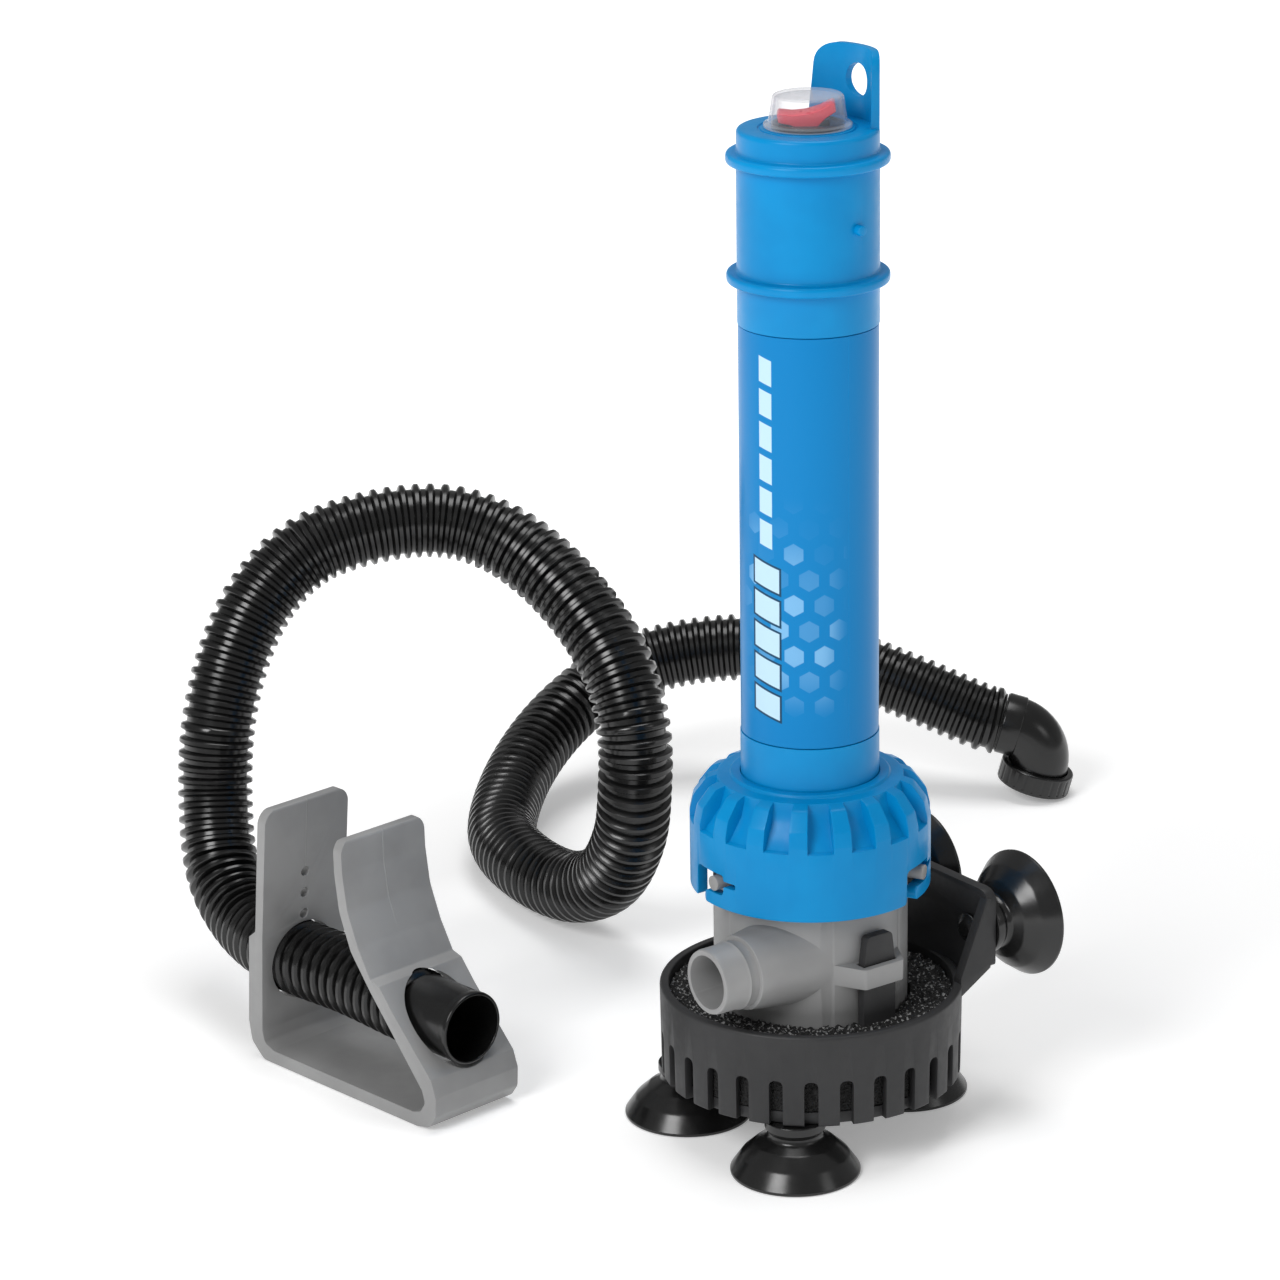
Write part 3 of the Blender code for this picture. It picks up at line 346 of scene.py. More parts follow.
@dataclass(frozen=True)
class OpenCellFoam:
    """Reticulated polyurethane foam: dull black struts, with painted shade in the open cells and painted
    highlights as pale specks on the cut top face.
    """

    name: str = "reticulated_polyurethane_foam"
    # painted shade: the open cells' hollows are coloured darker than the struts
    hollow: str = "#050505"
    strut: str = "#1C1C1C"
    # painted highlight: the colour of the pale specks on the top face
    painted_glint: str = "#8E8E8E"
    roughness: float = 0.8
    cell_mm: float = 1.1        # about 23 cells to the inch
    painted_glint_heights_mm: tuple[float, float] = (39.5, 42.5)     # heights between which the painted highlight specks come in

    def build(self) -> bpy.types.Material:
        """Build the material.

        Returns:
            The material.
        """
        material, tree, shader = new_material(self.name)
        place = add_node(tree, COORDINATES, output="Object")
        grid = {"Vector": place, "Scale": per_metre(self.cell_mm)}
        cells = add_node(tree, "ShaderNodeTexVoronoi", grid, "Distance", feature="DISTANCE_TO_EDGE")
        specks = add_node(tree, NOISE, {**grid, "Detail": 1.0})
        # painted shade: away from the struts the colour darkens to the hollow tone
        inside = add_node(tree, RANGE, (cells, 0.04, 0.2), **SMOOTH)
        tone = add_node(tree, MIX, {0: inside, 6: linear(self.strut), 7: linear(self.hollow)}, **COLOURS)
        height = add_node(tree, SEPARATE, (place,), "Z")
        low, high = self.painted_glint_heights_mm
        # painted highlight: pale specks are mixed in only near the top face; torn here is the mask of these
        # painted highlights
        lit = add_node(tree, RANGE, (specks, 0.57, 0.65), **SMOOTH)
        cut = add_node(tree, RANGE, (height, low * MM, high * MM), **SMOOTH)
        torn = add_node(tree, MATH, (lit, cut), operation="MULTIPLY")
        tone = add_node(tree, MIX, {0: torn, 6: tone, 7: linear(self.painted_glint)}, **COLOURS)
        deep = add_node(tree, MATH, (cells, -0.8 * MM), operation="MULTIPLY")
        bump = add_node(tree, BUMP, {"Height": deep, "Distance": 1.0, "Strength": 1.0})
        feed(tree, shader, {"Base Color": tone, "Roughness": self.roughness, "Normal": bump})
        return material


@dataclass(frozen=True)
class ClearVinyl:
    """Clear plasticised PVC, dip-moulded: glossy and see-through, with a faint smoky haze at its edges."""

    name: str = "clear_plasticised_pvc"
    colour: str = "#C4C8D0"
    roughness: float = 0.1
    ior: float = 1.5
    specular: float = 0.3

    def build(self) -> bpy.types.Material:
        """Build the material.

        Returns:
            The material.
        """
        material, tree, shader = new_material(self.name)
        place = add_node(tree, COORDINATES, output="Object")
        sag = add_node(tree, NOISE, {"Vector": place, "Scale": per_metre(5.0)})
        sag = add_node(tree, MATH, (sag, 0.05 * MM), operation="MULTIPLY")
        bump = add_node(tree, BUMP, {"Height": sag, "Distance": 1.0, "Strength": 1.0})
        edge = add_node(tree, "ShaderNodeLayerWeight", {"Blend": 0.35}, "Facing")
        haze = add_node(tree, RANGE, (edge, 0.1, 0.9, 0.1, 0.6), **SMOOTH)
        feed(tree, shader, {"Base Color": linear(self.colour), "Roughness": self.roughness, "Normal": bump,
                            "Alpha": haze, "IOR": self.ior, "Specular IOR Level": self.specular})
        return material


@dataclass(frozen=True)
class BareMetal:
    """A plated or rolled metal: bright, with fine drawn marks."""

    name: str
    colour: str
    roughness: float

    def build(self) -> bpy.types.Material:
        """Build the material.

        Returns:
            The material.
        """
        material, tree, shader = new_material(self.name)
        place = add_node(tree, COORDINATES, output="Object")
        streak = add_node(tree, MAPPING, {"Vector": place, "Scale": (1.0, 1.0, 0.06)})
        marks = add_node(tree, NOISE, {"Vector": streak, "Scale": per_metre(0.5), "Detail": 3.0})
        dull = add_node(tree, RANGE, (marks, 0.3, 0.7, self.roughness - 0.08, self.roughness + 0.1), **SMOOTH)
        feed(tree, shader, {"Base Color": linear(self.colour), "Roughness": dull, "Metallic": 1.0})
        return material


CLIP_X, CLIP_Y, CLIP_YAW = -0.0688, -0.0915, math.radians(8)
FINISHES = {
    # Glossy ABS: a bright satin skin with soft highlights
    Slot.BLUE: Moulding("moulded_blue_abs", "#008AC8", "#0083C1", 0.32, specular=0.16),
    Slot.LABEL: PrintedVinyl(),
    # Filled ABS: duller, with a faint swirl from the gate
    Slot.GREY: Moulding("moulded_grey_abs", "#949494", "#8B8B8B", 0.42,
                        seam=(CLIP_X, CLIP_Y, CLIP_YAW)),
    # Textured ABS: a dry charcoal surface with broad highlights only
    Slot.CHARCOAL: Moulding("textured_charcoal_abs", "#2F2F30", "#2A2A2B", 0.5, specular=0.35,
                            grain_depth_mm=0.015),
    # Plasticised PVC: deep black, oily highlights
    Slot.CUP: Moulding("flexible_black_pvc", "#171717", "#121212", 0.24, gloss_spread=0.05,
                       grain_depth_mm=0.0015),
    Slot.FOAM: OpenCellFoam(),
    # Blow-moulded polyethylene: waxy black with crisp highlights on each rib
    Slot.HOSE: Moulding("blow_moulded_polyethylene", "#0E0E0E", "#0A0A0A", 0.24, gloss_spread=0.05,
                        grain_depth_mm=0.001),
    Slot.NYLON: Moulding("black_glass_filled_nylon", "#1A1A1B", "#121213", 0.42),
    Slot.SEAL: Moulding("nitrile_rubber_seal", "#151515", "#0F0F0F", 0.7),
    # Glossy nylon: saturated red through the boot
    Slot.RED: Moulding("red_nylon_rocker", "#F2233C", "#E81D36", 0.3),
    Slot.CLEAR: ClearVinyl(),
    Slot.CELL: Moulding("lacquered_cell_jacket", "#24262A", "#1C1E22", 0.3, coat=0.4),
    Slot.STEEL: BareMetal("zinc_plated_steel", "#C6C8CB", 0.32),
    Slot.BRASS: BareMetal("rolled_brass", "#D9B36A", 0.28),
}


class Paint:
    """The finishes, each built once."""

    def __init__(self) -> None:
        """Build every finish's material."""
        self.materials = {slot: finish.build() for slot, finish in FINISHES.items()}

    def dress(self, piece: bpy.types.Object, slot: Slot, body: str, *nodes: str) -> bpy.types.Object:
        """Finish a piece: material, shading, the body it rides on, and the CAD nodes it stands for.

        Args:
            piece: The piece.
            slot: Its finish.
            body: The body it rides on.
            *nodes: The CAD nodes it stands for.

        Returns:
            The same piece.
        """
        piece.data.materials.clear()
        piece.data.materials.append(self.materials[slot])
        activate(piece)
        bpy.ops.object.shade_smooth_by_angle(angle=math.radians(38))
        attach(piece, body)
        if nodes:
            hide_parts(*nodes)
        LOG.info("%s: %d faces, on %s", piece.name, len(piece.data.polygons), body)
        return piece

    def dress_node(self, name: str, slot: Slot) -> None:
        """Give a CAD node that stays its material.

        Args:
            name: The node's name.
            slot: Its finish.
        """
        node = frame["nodes"][name]
        node.data.materials.clear()
        node.data.materials.append(self.materials[slot])


# ---------------------------------------------------------------- bench tools

def activate(piece: bpy.types.Object) -> None:
    """Select only this piece and make it the active one.

    Args:
        piece: The piece.
    """
    bpy.ops.object.select_all(action="DESELECT")
    piece.select_set(True)
    bpy.context.view_layer.objects.active = piece


def rounded(points: list[Point], closed: bool = True, steps: int = 4) -> list[Vector]:
    """Round the corners of an outline.

    Args:
        points: (x, y) or (x, y, radius) corners.
        closed: Whether the last corner joins the first.
        steps: Edges in each rounded corner.

    Returns:
        The outline's points, with every corner that has a radius drawn as a short curve.
    """
    line: list[Vector] = []
    for i, point in enumerate(points):
        corner = Vector(point[:2])
        if len(point) < 3 or (not closed and i in (0, len(points) - 1)):
            line.append(corner)
            continue
        before = Vector(points[i - 1][:2]) - corner
        after = Vector(points[(i + 1) % len(points)][:2]) - corner
        reach = min(point[2] / math.tan(before.angle(after) / 2), 0.48 * before.length, 0.48 * after.length)
        start = corner + before.normalized() * reach
        end = corner + after.normalized() * reach
        for k in range(steps + 1):
            t = k / steps
            line.append(start.lerp(corner, t).lerp(corner.lerp(end, t), t))
    return line


def draw(name: str, points: list[Vector]) -> bpy.types.Object:
    """Draw a chain of edges by extruding one vertex from point to point, and stay in edit mode.

    Args:
        name: The piece's name.
        points: The chain's points in metres.

    Returns:
        The new piece, in edit mode.
    """
    bpy.ops.object.select_all(action="DESELECT")
    bpy.ops.mesh.primitive_plane_add(size=MM)
    piece = bpy.context.object
    piece.name = name
    bpy.ops.object.mode_set(mode="EDIT")
    bpy.ops.mesh.merge(type="CENTER")
    bpy.ops.transform.translate(value=points[0])
    for start, end in zip(points, points[1:]):
        bpy.ops.mesh.extrude_region_move(TRANSFORM_OT_translate={"value": end - start})
    return piece


def close_up(piece: bpy.types.Object) -> bpy.types.Object:
    """Merge doubles, turn the faces outwards and leave edit mode.

    Args:
        piece: The piece, in edit mode.

    Returns:
        The same piece.
    """
    bpy.ops.mesh.select_all(action="SELECT")
    bpy.ops.mesh.remove_doubles(threshold=2e-6)
    bpy.ops.mesh.normals_make_consistent(inside=False)
    bpy.ops.object.mode_set(mode="OBJECT")
    return piece


def turned(name: str, profile: list[Point], steps: int = 96, start: float = 0.0, end: float = math.tau,
           rounding: int = 4) -> bpy.types.Object:
    """Turn a profile about Z.

    Args:
        name: The piece's name.
        profile: (radius, height) or (radius, height, corner radius) in millimetres. One that starts and ends
            on the axis closes there; any other closes on itself.
        steps: Steps of the turn.
        start: Azimuth of the first cut.
        end: Azimuth of the last cut; a full turn closes on itself.
        rounding: Edges in each rounded corner.

    Returns:
        The solid, on the Z axis.
    """
    on_axis = profile[0][0] == 0 and profile[-1][0] == 0
    line = rounded(profile, not on_axis, rounding)
    way = Vector((math.cos(start), math.sin(start), 0.0)) * MM
    points = [way * p.x + Vector((0.0, 0.0, p.y * MM)) for p in line]
    full = end - start > math.tau - 1e-6
    piece = draw(name, points if on_axis or not full else [*points, points[0]])
    bpy.ops.mesh.select_all(action="SELECT")
    if not full:
        bpy.ops.mesh.edge_face_add()
    bpy.ops.mesh.spin(steps=steps, angle=start - end, use_auto_merge=True, center=(0, 0, 0), axis=(0, 0, 1))
    return close_up(piece)


def plate(name: str, outline: list[Point], low: float, high: float, matrix: Matrix | None = None,
          rounding: int = 4) -> bpy.types.Object:
    """Draw an outline in X and Y and extrude it from low to high, all in millimetres.

    Args:
        name: The piece's name.
        outline: (x, y) or (x, y, corner radius) corners.
        low: The first face's height.
        high: The last face's height.
        matrix: Where the extruded shape goes, if not on the world's axes.
        rounding: Edges in each rounded corner.

    Returns:
        The solid.
    """
    piece = draw(name, [Vector((p.x, p.y, low)) * MM for p in rounded(outline, True, rounding)])
    bpy.ops.mesh.select_all(action="SELECT")
    bpy.ops.mesh.edge_face_add()
    bpy.ops.mesh.extrude_region_move(TRANSFORM_OT_translate={"value": (0.0, 0.0, (high - low) * MM)})
    close_up(piece)
    return moved(piece, matrix) if matrix is not None else piece


def rod(name: str, start: Point, end: Point, radius: float, steps: int = 48) -> bpy.types.Object:
    """Make a round rod between two points, in millimetres.

    Args:
        name: The piece's name.
        start: The middle of one end.
        end: The middle of the other end.
        radius: Its radius.
        steps: Its sides.

    Returns:
        The solid.
    """
    first, last = Vector(start) * MM, Vector(end) * MM
    turn = (last - first).to_track_quat("Z", "Y").to_euler()
    bpy.ops.object.select_all(action="DESELECT")
    bpy.ops.mesh.primitive_cylinder_add(vertices=steps, radius=radius * MM, depth=(last - first).length,
                                        location=(first + last) / 2, rotation=turn)
    piece = bpy.context.object
    piece.name = name
    return moved(piece, Matrix.Identity(4))


def spoke(name: str, azimuth: float, height: float, start: float, end: float,
          radius: float) -> bpy.types.Object:
    """Make a round rod that stands level out of the Z axis.

    Args:
        name: The piece's name.
        azimuth: The way it points.
        height: Its height in millimetres.
        start: Where it starts, in millimetres from the axis.
        end: Where it ends, in millimetres from the axis.
        radius: Its radius in millimetres.

    Returns:
        The solid.
    """
    way = Vector((math.cos(azimuth), math.sin(azimuth), 0.0))
    foot = Vector((0, 0, height))
    return rod(name, foot + way * start, foot + way * end, radius, 32)


def block(name: str, low: Point, high: Point, matrix: Matrix | None = None) -> bpy.types.Object:
    """Make a box between two corners, in millimetres."""
    corners = [(low[0], low[1]), (high[0], low[1]), (high[0], high[1]), (low[0], high[1])]
    return plate(name, corners, low[2], high[2], matrix)


def at(x: float, y: float, z: float = 0.0) -> Matrix:
    """Return the shift to a place in millimetres."""
    return Matrix.Translation((x * MM, y * MM, z * MM))


def moved(piece: bpy.types.Object, matrix: Matrix) -> bpy.types.Object:
    """Carry a piece by a matrix and apply it, so that its place is in its mesh.

    Args:
        piece: The piece.
        matrix: The move.

    Returns:
        The same piece.
    """
    piece.matrix_world = matrix @ piece.matrix_world
    activate(piece)
    bpy.ops.object.transform_apply(location=True, rotation=True, scale=True)
    return piece


def joined(pieces: list[bpy.types.Object]) -> bpy.types.Object:
    """Join pieces that don't touch into the first of them.

    Args:
        pieces: The pieces.

    Returns:
        The first piece, with the others in it.
    """
    activate(pieces[0])
    for piece in pieces:
        piece.select_set(True)
    bpy.ops.object.join()
    return pieces[0]


def linked(name: str, data: bpy.types.ID) -> bpy.types.Object:
    """Put a mesh, a camera or a light in the scene as a new object.

    Args:
        name: The object's name.
        data: The mesh, camera or light.

    Returns:
        The object.
    """
    made = bpy.data.objects.new(name, data)
    bpy.context.scene.collection.objects.link(made)
    return made


def copied(piece: bpy.types.Object, name: str, matrix: Matrix) -> bpy.types.Object:
    """Copy a piece with its own mesh and place the copy by a matrix."""
    return moved(linked(name, piece.data.copy()), matrix)


def evenly(count: int) -> list[float]:
    """Return the turns from the first of so many even places round the axis to each of the others."""
    return [math.tau * i / count for i in range(1, count)]


def around(piece: bpy.types.Object, turns: list[float]) -> bpy.types.Object:
    """Repeat a piece about Z at further azimuths and join all into it."""
    return joined([piece] + [copied(piece, f"{piece.name}_{i}", Matrix.Rotation(a, 4, "Z"))
                             for i, a in enumerate(turns)])


def applied(piece: bpy.types.Object, kind: str, **settings) -> bpy.types.Object:
    """Give a piece a modifier with its settings, and apply it.

    Args:
        piece: The piece.
        kind: The modifier's type name.
        **settings: The modifier's own properties.

    Returns:
        The same piece.
    """
    step = piece.modifiers.new(kind.lower(), kind)
    for name, value in settings.items():
        setattr(step, name, value)
    activate(piece)
    bpy.ops.object.modifier_apply(modifier=step.name)
    return piece


def shaped(piece: bpy.types.Object, cut: Cut, *others: bpy.types.Object) -> bpy.types.Object:
    """Shape a piece by other solids, one after another, and use them up.

    Args:
        piece: The piece.
        cut: What the other solids do to it.
        *others: The other solids.

    Returns:
        The same piece.
    """
    for other in others:
        applied(piece, "BOOLEAN", operation=cut.value, object=other)
        bpy.data.objects.remove(other)
    return piece


def eased(piece: bpy.types.Object, width: float, segments: int = 2, angle: float = 38.0) -> bpy.types.Object:
    """Round a piece's sharp edges.

    Args:
        piece: The piece.
        width: The width of the rounding in millimetres.
        segments: Its faces across.
        angle: The smallest turn between two faces, in degrees, that counts as a sharp edge.

    Returns:
        The same piece.
    """
    return applied(piece, "BEVEL", width=width * MM, segments=segments, limit_method="ANGLE",
                   angle_limit=math.radians(angle), use_clamp_overlap=True)


def upright() -> Matrix:
    """Return the turn that stands an X and Y outline up in X and Z, extruded along -Y."""
    return Matrix.Rotation(math.pi / 2, 4, "X")


SIDEWAYS = Matrix(((0, 0, 1, 0), (1, 0, 0, 0), (0, 1, 0, 0), (0, 0, 0, 1)))
"""Carries an X and Y outline to Y and Z, extruded along +X."""


# ---------------------------------------------------------------- strainer base

@dataclass
class StrainerBase:
    """Slotted basket with its bracket and latch fingers, the foam in it, and five suction cups."""

    radius: float = 47.0
    bore: float = 44.1
    low: float = 17.6
    high: float = 47.0
    floor: float = 21.1
    slots: int = 27
    slot_start: float = math.radians(52)
    slot_width: float = 4.3
    slot_top: float = 32.4
    foam_top: float = 44.0
    finger_x: tuple[float, float] = (31.1, 34.1)
    finger_top: float = 72.5
    bracket_y: tuple[float, float] = (44.0, 47.5)
    bracket_half: float = 32.5
    gusset_thick: float = 3.3
    cup_hole: float = 3.9
    cup_stand: float = 17.6
    wall_cup: tuple[float, float] = (24.5, 61.0)
    floor_cups: list[Point] = field(default_factory=lambda: [(-27.3, -27.6), (27.3, -27.6), (0.0, 37.7)])

    def basket(self) -> bpy.types.Object:
        """Turn the basket, add the bracket, gussets and fingers, and cut the slots and cup holes.

        Returns:
            The solid, in its place.
        """
        basket = turned("basket_moulding", [
            (0, self.low), (self.radius - 0.4, self.low, 0.8), (self.radius, self.high, 1.1),
            (self.bore, self.high, 0.7), (self.bore, self.floor, 0.6), (0, self.floor)], 108)
        face = [(-32.5, 50.3, 1), (-20, 43), (20, 43), (32.5, 50.3, 1), (32.5, 75, 4.5), (-32.5, 75, 4.5)]
        added = [plate("bracket", face, -self.bracket_y[1], -self.bracket_y[0], upright())]
        gusset = [(33.6, 42.6), (45.5, 49.6), (45.5, 72.6, 1.5), (43.9, 72.6), (33.6, 48.4, 2)]
        added += [plate("gusset", gusset, inner, inner + self.gusset_thick, SIDEWAYS)
                  for inner in (-self.bracket_half, self.bracket_half - self.gusset_thick)]
        finger = [(-6.1, self.floor - 1), (6.1, self.floor - 1), (6.1, 62, 4), (4.7, self.finger_top, 1.6),
                  (-4.7, self.finger_top, 1.6), (-6.1, 62, 4)]
        added += [plate("finger", finger, low, high, SIDEWAYS)
                  for low, high in (self.finger_x, (-self.finger_x[1], -self.finger_x[0]))]
        basket = shaped(basket, Cut.ADDED, *added)
        half = self.slot_width / 2
        opening = [(-half, self.low - 1), (half, self.low - 1), (half, self.slot_top, half),
                   (-half, self.slot_top, half)]
        cutter = plate("slot_cutter", opening, self.bore - 0.4, self.radius + 1,
                       Matrix.Rotation(self.slot_start, 4, "Z") @ upright(), 5)
        basket = shaped(basket, Cut.AWAY, around(cutter, evenly(self.slots)))
        holes = [rod("cup_hole", (x, y, self.low - 1), (x, y, self.floor + 1), self.cup_hole, 32)
                 for x, y in self.floor_cups]
        x, z = self.wall_cup
        holes += [rod("cup_hole", (side * x, self.bracket_y[0] - 1, z), (side * x, self.bracket_y[1] + 1, z),
                      self.cup_hole, 32) for side in (-1, 1)]
        return moved(eased(shaped(basket, Cut.AWAY, joined(holes)), 0.35), ON_AXIS)

    def foam(self) -> bpy.types.Object:
        """Turn the foam cup with a close mesh and roughen its skin into torn cells.

        Returns:
            The solid, in its place.
        """
        inner, outer, low = 31.0, self.bore - 0.4, self.floor + 0.3
        fine = 0.75
        top = [(outer - fine * i, self.foam_top) for i in range(int((outer - inner) / fine))]
        side = [(outer, low + 1.5 * i) for i in range(int((self.foam_top - low) / 1.5))]
        foam = turned("foam_moulding", [(0, low), *side, *top, (inner, self.foam_top), (inner, 27.7),
                                        (0, 27.7)], 300)
        foam.data.update()
        for vertex in foam.data.vertices:
            place = vertex.co / MM
            if place.xy.length < inner - 0.5:
                continue
            torn = noise.noise(place / 1.5) * 1.3 + noise.noise(place / 0.8) * 0.9
            if place.z > self.foam_top - 0.5:
                vertex.co.z += (torn - 0.25) * MM
            elif place.xy.length > outer - 0.5:
                vertex.co.xy *= 1 - abs(torn) * 0.6 / outer
        return moved(foam, ON_AXIS)

    def cup(self) -> bpy.types.Object:
        """Turn one suction cup: bell, neck and the button that plugs it in.

        Returns:
            The first cup, on the Z axis.
        """
        stand, hole = self.cup_stand, self.cup_hole - 0.4
        button = stand + self.floor - self.low + 0.3
        return turned("floor_cup_moulding_1", [
            (0, 6.6), (7.5, 6.0, 3), (13.5, 3.8, 6), (19.2, 0, 0.2), (20, 0, 0.3), (20, 0.9, 0.4),
            (16.6, 5.8, 5), (12.4, 9.6, 4), (8.6, 11.6, 1.5), (8.2, 13.2, 0.8), (9.4, 14.6, 0.5),
            (9.4, stand - 0.3, 0.5), (hole, stand - 0.3), (hole, button), (4.7, button, 0.3),
            (4.7, button + 1.2, 0.6), (2.4, button + 2.6, 1), (0, button + 2.6)], 72)

    def build(self, paint: Paint) -> None:
        """Build and finish the base's pieces.

        Args:
            paint: The finishes.
        """
        paint.dress(self.basket(), Slot.CHARCOAL, "base", "strainer_basket")
        paint.dress(self.foam(), Slot.FOAM, "base", "foam_filter")
        cup = self.cup()
        for number, (x, y) in enumerate(self.floor_cups[1:], start=2):
            copy = copied(cup, f"floor_cup_moulding_{number}", ON_AXIS @ at(x, y))
            paint.dress(copy, Slot.CUP, "base", f"floor_cup_{number}")
        x, z = self.wall_cup
        for number, side in enumerate((-1, 1), start=1):
            place = ON_AXIS @ at(side * x, self.bracket_y[1] + self.cup_stand, z) @ upright()
            paint.dress(copied(cup, f"wall_cup_moulding_{number}", place), Slot.CUP, "base",
                        f"wall_cup_{number}")
        paint.dress(moved(cup, ON_AXIS @ at(*self.floor_cups[0])), Slot.CUP, "base", "floor_cup_1")


# ---------------------------------------------------------------- pump

@dataclass
class PumpHousing:
    """Grey housing: volute with its tangential nozzle, latch loops and bayonet pins."""

    radius: float = 30.0
    low: float = 32.7
    high: float = 100.0
    nozzle_x: float = 12.5
    nozzle_z: float = 62.5
    nozzle_length: float = 49.5
    bore: float = 8.4
    loop_z: tuple[float, float] = (56.9, 63.3)
    pin_azimuths: tuple[float, ...] = (-90, 30, 150)
    pin_z: float = 87.8
    pin_reach: float = 37.4
    pin_radius: float = 2.3
    finger_x: float = 34.1
    finger_half: float = 6.1

    def housing(self) -> bpy.types.Object:
        """Turn the volute, add what stands out of it, then hollow it.

        Returns:
            The solid, in its place.
        """
        housing = turned("housing_moulding", [(0, self.low), (self.radius, self.low, 0.8),
                                              (self.radius, self.high), (0, self.high)], 120)
        length = self.nozzle_length
        nozzle = turned("nozzle", [
            (0, 6), (15.4, 6), (13.5, 24), (11.7, 36.4), (11.6, 37.2, 0.4), (10.4, 37.4), (10.4, 39.9),
            (10.75, 40.6, 0.3), (10.2, 41.4), (10.2, length - 1.2), (9.9, length, 0.3), (0, length)], 72)
        added = [moved(nozzle, at(self.nozzle_x, 0, self.nozzle_z) @ upright())]
        for side in (-1, 1):
            loop = [(side * x, y, *r)
                    for x, y, *r in ((27, -12.5), (36.6, -7.4, 1.8), (36.6, 7.4, 1.8), (27, 12.5))]
            added.append(plate("loop", loop, *self.loop_z))
        added += [spoke("pin", math.radians(azimuth), self.pin_z, self.radius - 1.5, self.pin_reach,
                        self.pin_radius) for azimuth in self.pin_azimuths]
        away = [turned("chamber", [
            (0, self.low - 1), (21, self.low - 1), (21, 48), (26.5, 48), (26.5, 71.5), (7.3, 71.5),
            (7.3, 74.5), (27.4, 74.5), (27.4, self.high + 1), (0, self.high + 1)], 72)]
        away.append(rod("nozzle_bore", (self.nozzle_x, -length - 1, self.nozzle_z),
                        (self.nozzle_x, -8, self.nozzle_z), self.bore, 64))
        for side in (-1, 1):
            xs = sorted((side * (self.radius + 0.5), side * (self.finger_x + 0.4)))
            away.append(block("finger_slit", (xs[0], -self.finger_half - 0.4, self.loop_z[0] - 1),
                              (xs[1], self.finger_half + 0.4, self.loop_z[1] + 1)))
        housing = shaped(shaped(housing, Cut.ADDED, *added), Cut.AWAY, *away)
        return moved(eased(housing, 0.45), ON_AXIS)

    def build(self, paint: Paint) -> None:
        """Build and finish the housing."""
        paint.dress(self.housing(), Slot.GREY, "pump", "pump_housing")


